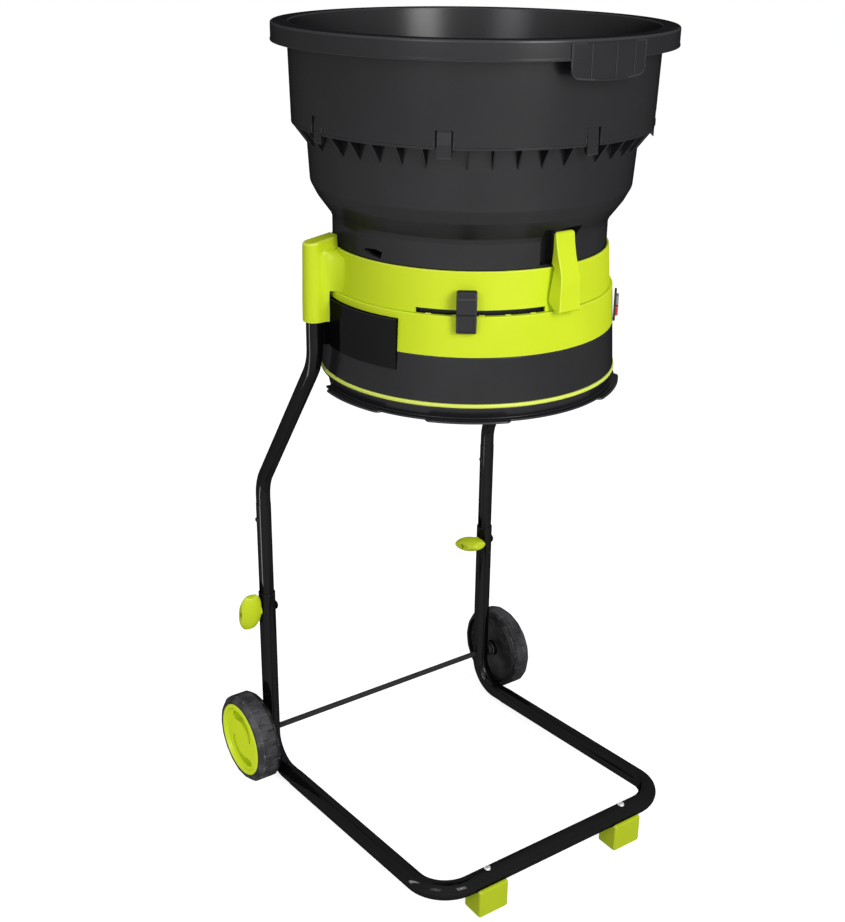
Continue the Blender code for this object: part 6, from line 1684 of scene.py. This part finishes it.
# %% Axle, spacers and wheels
axle_reach = WHEEL_X + WHEEL_WIDE - 0.0070
axle_bar = rod(0.0040, (-axle_reach, LEG_Y, WHEEL_R), (axle_reach, LEG_Y, WHEEL_R))
dress(thing("axle_rod", softened(axle_bar, 0.0006, 2)), "axle", PAINT)
for name, side in SIDES:
    start = LEG_X + LOWER_R + GAP
    a, b = sorted((side * start, side * (start + 0.0052)))
    hub_place = across(0, LEG_Y, WHEEL_R)
    outline = softly([(0.0043, a), (0.0090, a), (0.0090, b), (0.0043, b)], 0.0005)
    dress(thing("spacer_" + name, turned_at(outline, hub_place)), "axle_spacer_" + name, BLACK)
    wheel = wheel_outline(side, [
        (0.0046, 0.0, 0.0003), (0.0120, 0.0, 0.0010), (0.0120, 0.0086, 0.0015), (0.0562, 0.0086, 0.0012),
        (0.0562, 0.0, 0.0006), (0.0590, 0.0, 0.0012), (WHEEL_R, 0.0048, 0.0030), (WHEEL_R, 0.0158, 0.0),
        (WHEEL_R, 0.0187, 0.0),
        (WHEEL_R, WHEEL_WIDE - 0.0058, 0.0030), (0.0574, WHEEL_WIDE, 0.0030), (0.0523, WHEEL_WIDE, 0.0006),
        (0.0523, 0.0100, 0.0), (0.0046, 0.0100, 0.0)])
    dress(thing("tread_" + name, treaded(turned_at(wheel, hub_place, 288), side)), "tyre_" + name, TYRE)
    dish = wheel_outline(side, [
        (0.0046, 0.0103, 0.0), (CAP_R, 0.0103, 0.0), (CAP_R, WHEEL_WIDE, 0.0010),
        (0.0475, WHEEL_WIDE + 0.0012, 0.0016),
        (0.0440, WHEEL_WIDE - 0.0038, 0.0016), (0.0, WHEEL_WIDE - 0.0012, 0.0),
        (0.0, WHEEL_WIDE - 0.0060, 0.0),
        (0.0046, WHEEL_WIDE - 0.0060, 0.0)])
    cap = thing("wheel_cap_" + name, turned_at(dish, hub_place, 120))
    carved(cap, pocket(side, 11.0), pocket(side, 191.0))
    dress(cap, "wheel_hub_" + name, LIME)

# %% [markdown]
# ## Floor, light and background
#
# The photograph is a cut-out on white, so the background is white to the camera and in
# reflections, and only softly grey as a lamp. The floor is a pale matt plane: it adds a little of
# its own white for the camera and keeps the shadow of the stand.

# %% Floor and background
def seen_directly(tree):
    """1 for what the camera, gloss and glass see, 0 for light that falls on the machine."""
    camera_ray, gloss, glass = (tree.node("ShaderNodeLightPath", output="Is " + kind + " Ray")
                                for kind in ("Camera", "Glossy", "Transmission"))
    return camera_ray.maths("MAXIMUM", camera_ray, gloss.maths("MAXIMUM", gloss, glass))


def white_world():
    world = bpy.data.worlds.new("white_room")
    world.use_nodes = True
    tree = Tree(world.node_tree)
    back = world.node_tree.nodes["Background"]
    tree.plug(back.inputs["Strength"], 0.34 + seen_directly(tree) * 0.66)
    back.inputs["Color"].default_value = (1.0, 1.0, 1.0, 1.0)
    bpy.context.scene.world = world


def pale_floor():
    floor = Finish("pale_floor", Roughness=0.9, Specular_IOR_Level=0.1)
    fleck = floor.noise(3.0, 2.0)
    floor.set("Base Color", floor.tint(fleck, (0.60, 0.60, 0.60), (0.62, 0.62, 0.62)))
    floor.set("Emission Color", (1.0, 1.0, 1.0, 1.0))
    floor.set("Emission Strength", seen_directly(floor) * 0.82)
    obj = thing("studio_floor", block((-9.0, -9.0, -0.02), (9.0, 9.0, 0.0)))
    obj.data.materials.append(floor.material)
    return obj


white_world()
floor = pale_floor()
bpy.context.scene.view_settings.view_transform = "Standard"
print("floor top at", max(v.co.z for v in floor.data.vertices))

# %% [markdown]
# Soft boxes light the machine. The key stands to the right of the camera and gives the housing
# its bright middle, and the fill on the left keeps the shaded side readable. Each has a small
# bright core for the highlights. A low box with a narrow spread lights the left wheel.

# %% Soft boxes
def round_about(angle, distance, height):
    """A place at this angle from the front; here a positive angle goes to the right."""
    a = math.radians(angle)
    return AXIS + Vector((distance * math.sin(a), -distance * math.cos(a), height))


def soft_box(name, place, aim, size, power, colour=(1.0, 1.0, 1.0), spread=180.0):
    light = bpy.data.lights.new(name, "AREA")
    light.color = colour
    light.shape = "RECTANGLE"
    light.size, light.size_y = size
    light.energy = power
    light.spread = math.radians(spread)
    lamp = bpy.data.objects.new(name, light)
    bpy.context.scene.collection.objects.link(lamp)
    lamp.location = place
    lamp.rotation_euler = (aim - place).to_track_quat("-Z", "Y").to_euler()
    return lamp


MIDDLE = AXIS + Vector((0.0, 0.0, 0.8))
COOL = (0.93, 0.94, 1.0)
soft_box("key", round_about(-2.0, 2.4, 1.75), MIDDLE, (0.95, 1.5), 38.0)
soft_box("key_core", round_about(-2.0, 2.35, 1.75), MIDDLE, (0.16, 0.5), 3.4)
soft_box("fill", round_about(-63.0, 2.4, 1.75), MIDDLE, (1.0, 1.5), 12.5, COOL)
soft_box("fill_core", round_about(-63.0, 2.35, 1.75), MIDDLE, (0.16, 0.5), 1.8, COOL)
left_cap = Vector((-WHEEL_X - WHEEL_WIDE, LEG_Y, WHEEL_R))
soft_box("wheel_light", Vector((-1.15, LEG_Y - 0.30, 0.40)), left_cap, (0.12, 0.12), 0.05, spread=22.0)

# %% [markdown]
# Gloss paint shows a long streak down each tube. An upright strip beside the left leg draws it.
# The round housing would mirror the strip too, where no streak belongs, so light linking keeps it
# to the painted tubes, and it is seen in their gloss alone.

# %% A strip for the tubes
strip_place = AXIS + Vector((-LEG_X - 0.50, LEG_Y - 0.02, 0.32))
strip = soft_box("strip", strip_place, strip_place + Vector((1.0, 0.0, 0.0)), (0.13, 0.60), 4.5)
strip.visible_camera = False
strip.visible_diffuse = False
tubes = bpy.data.collections.new("painted_tubes")
for obj in bpy.context.scene.objects:
    if PAINT in [slot.material for slot in obj.material_slots] and "saddle" not in obj.name:
        tubes.objects.link(obj)
strip.light_linking.receiver_collection = tubes
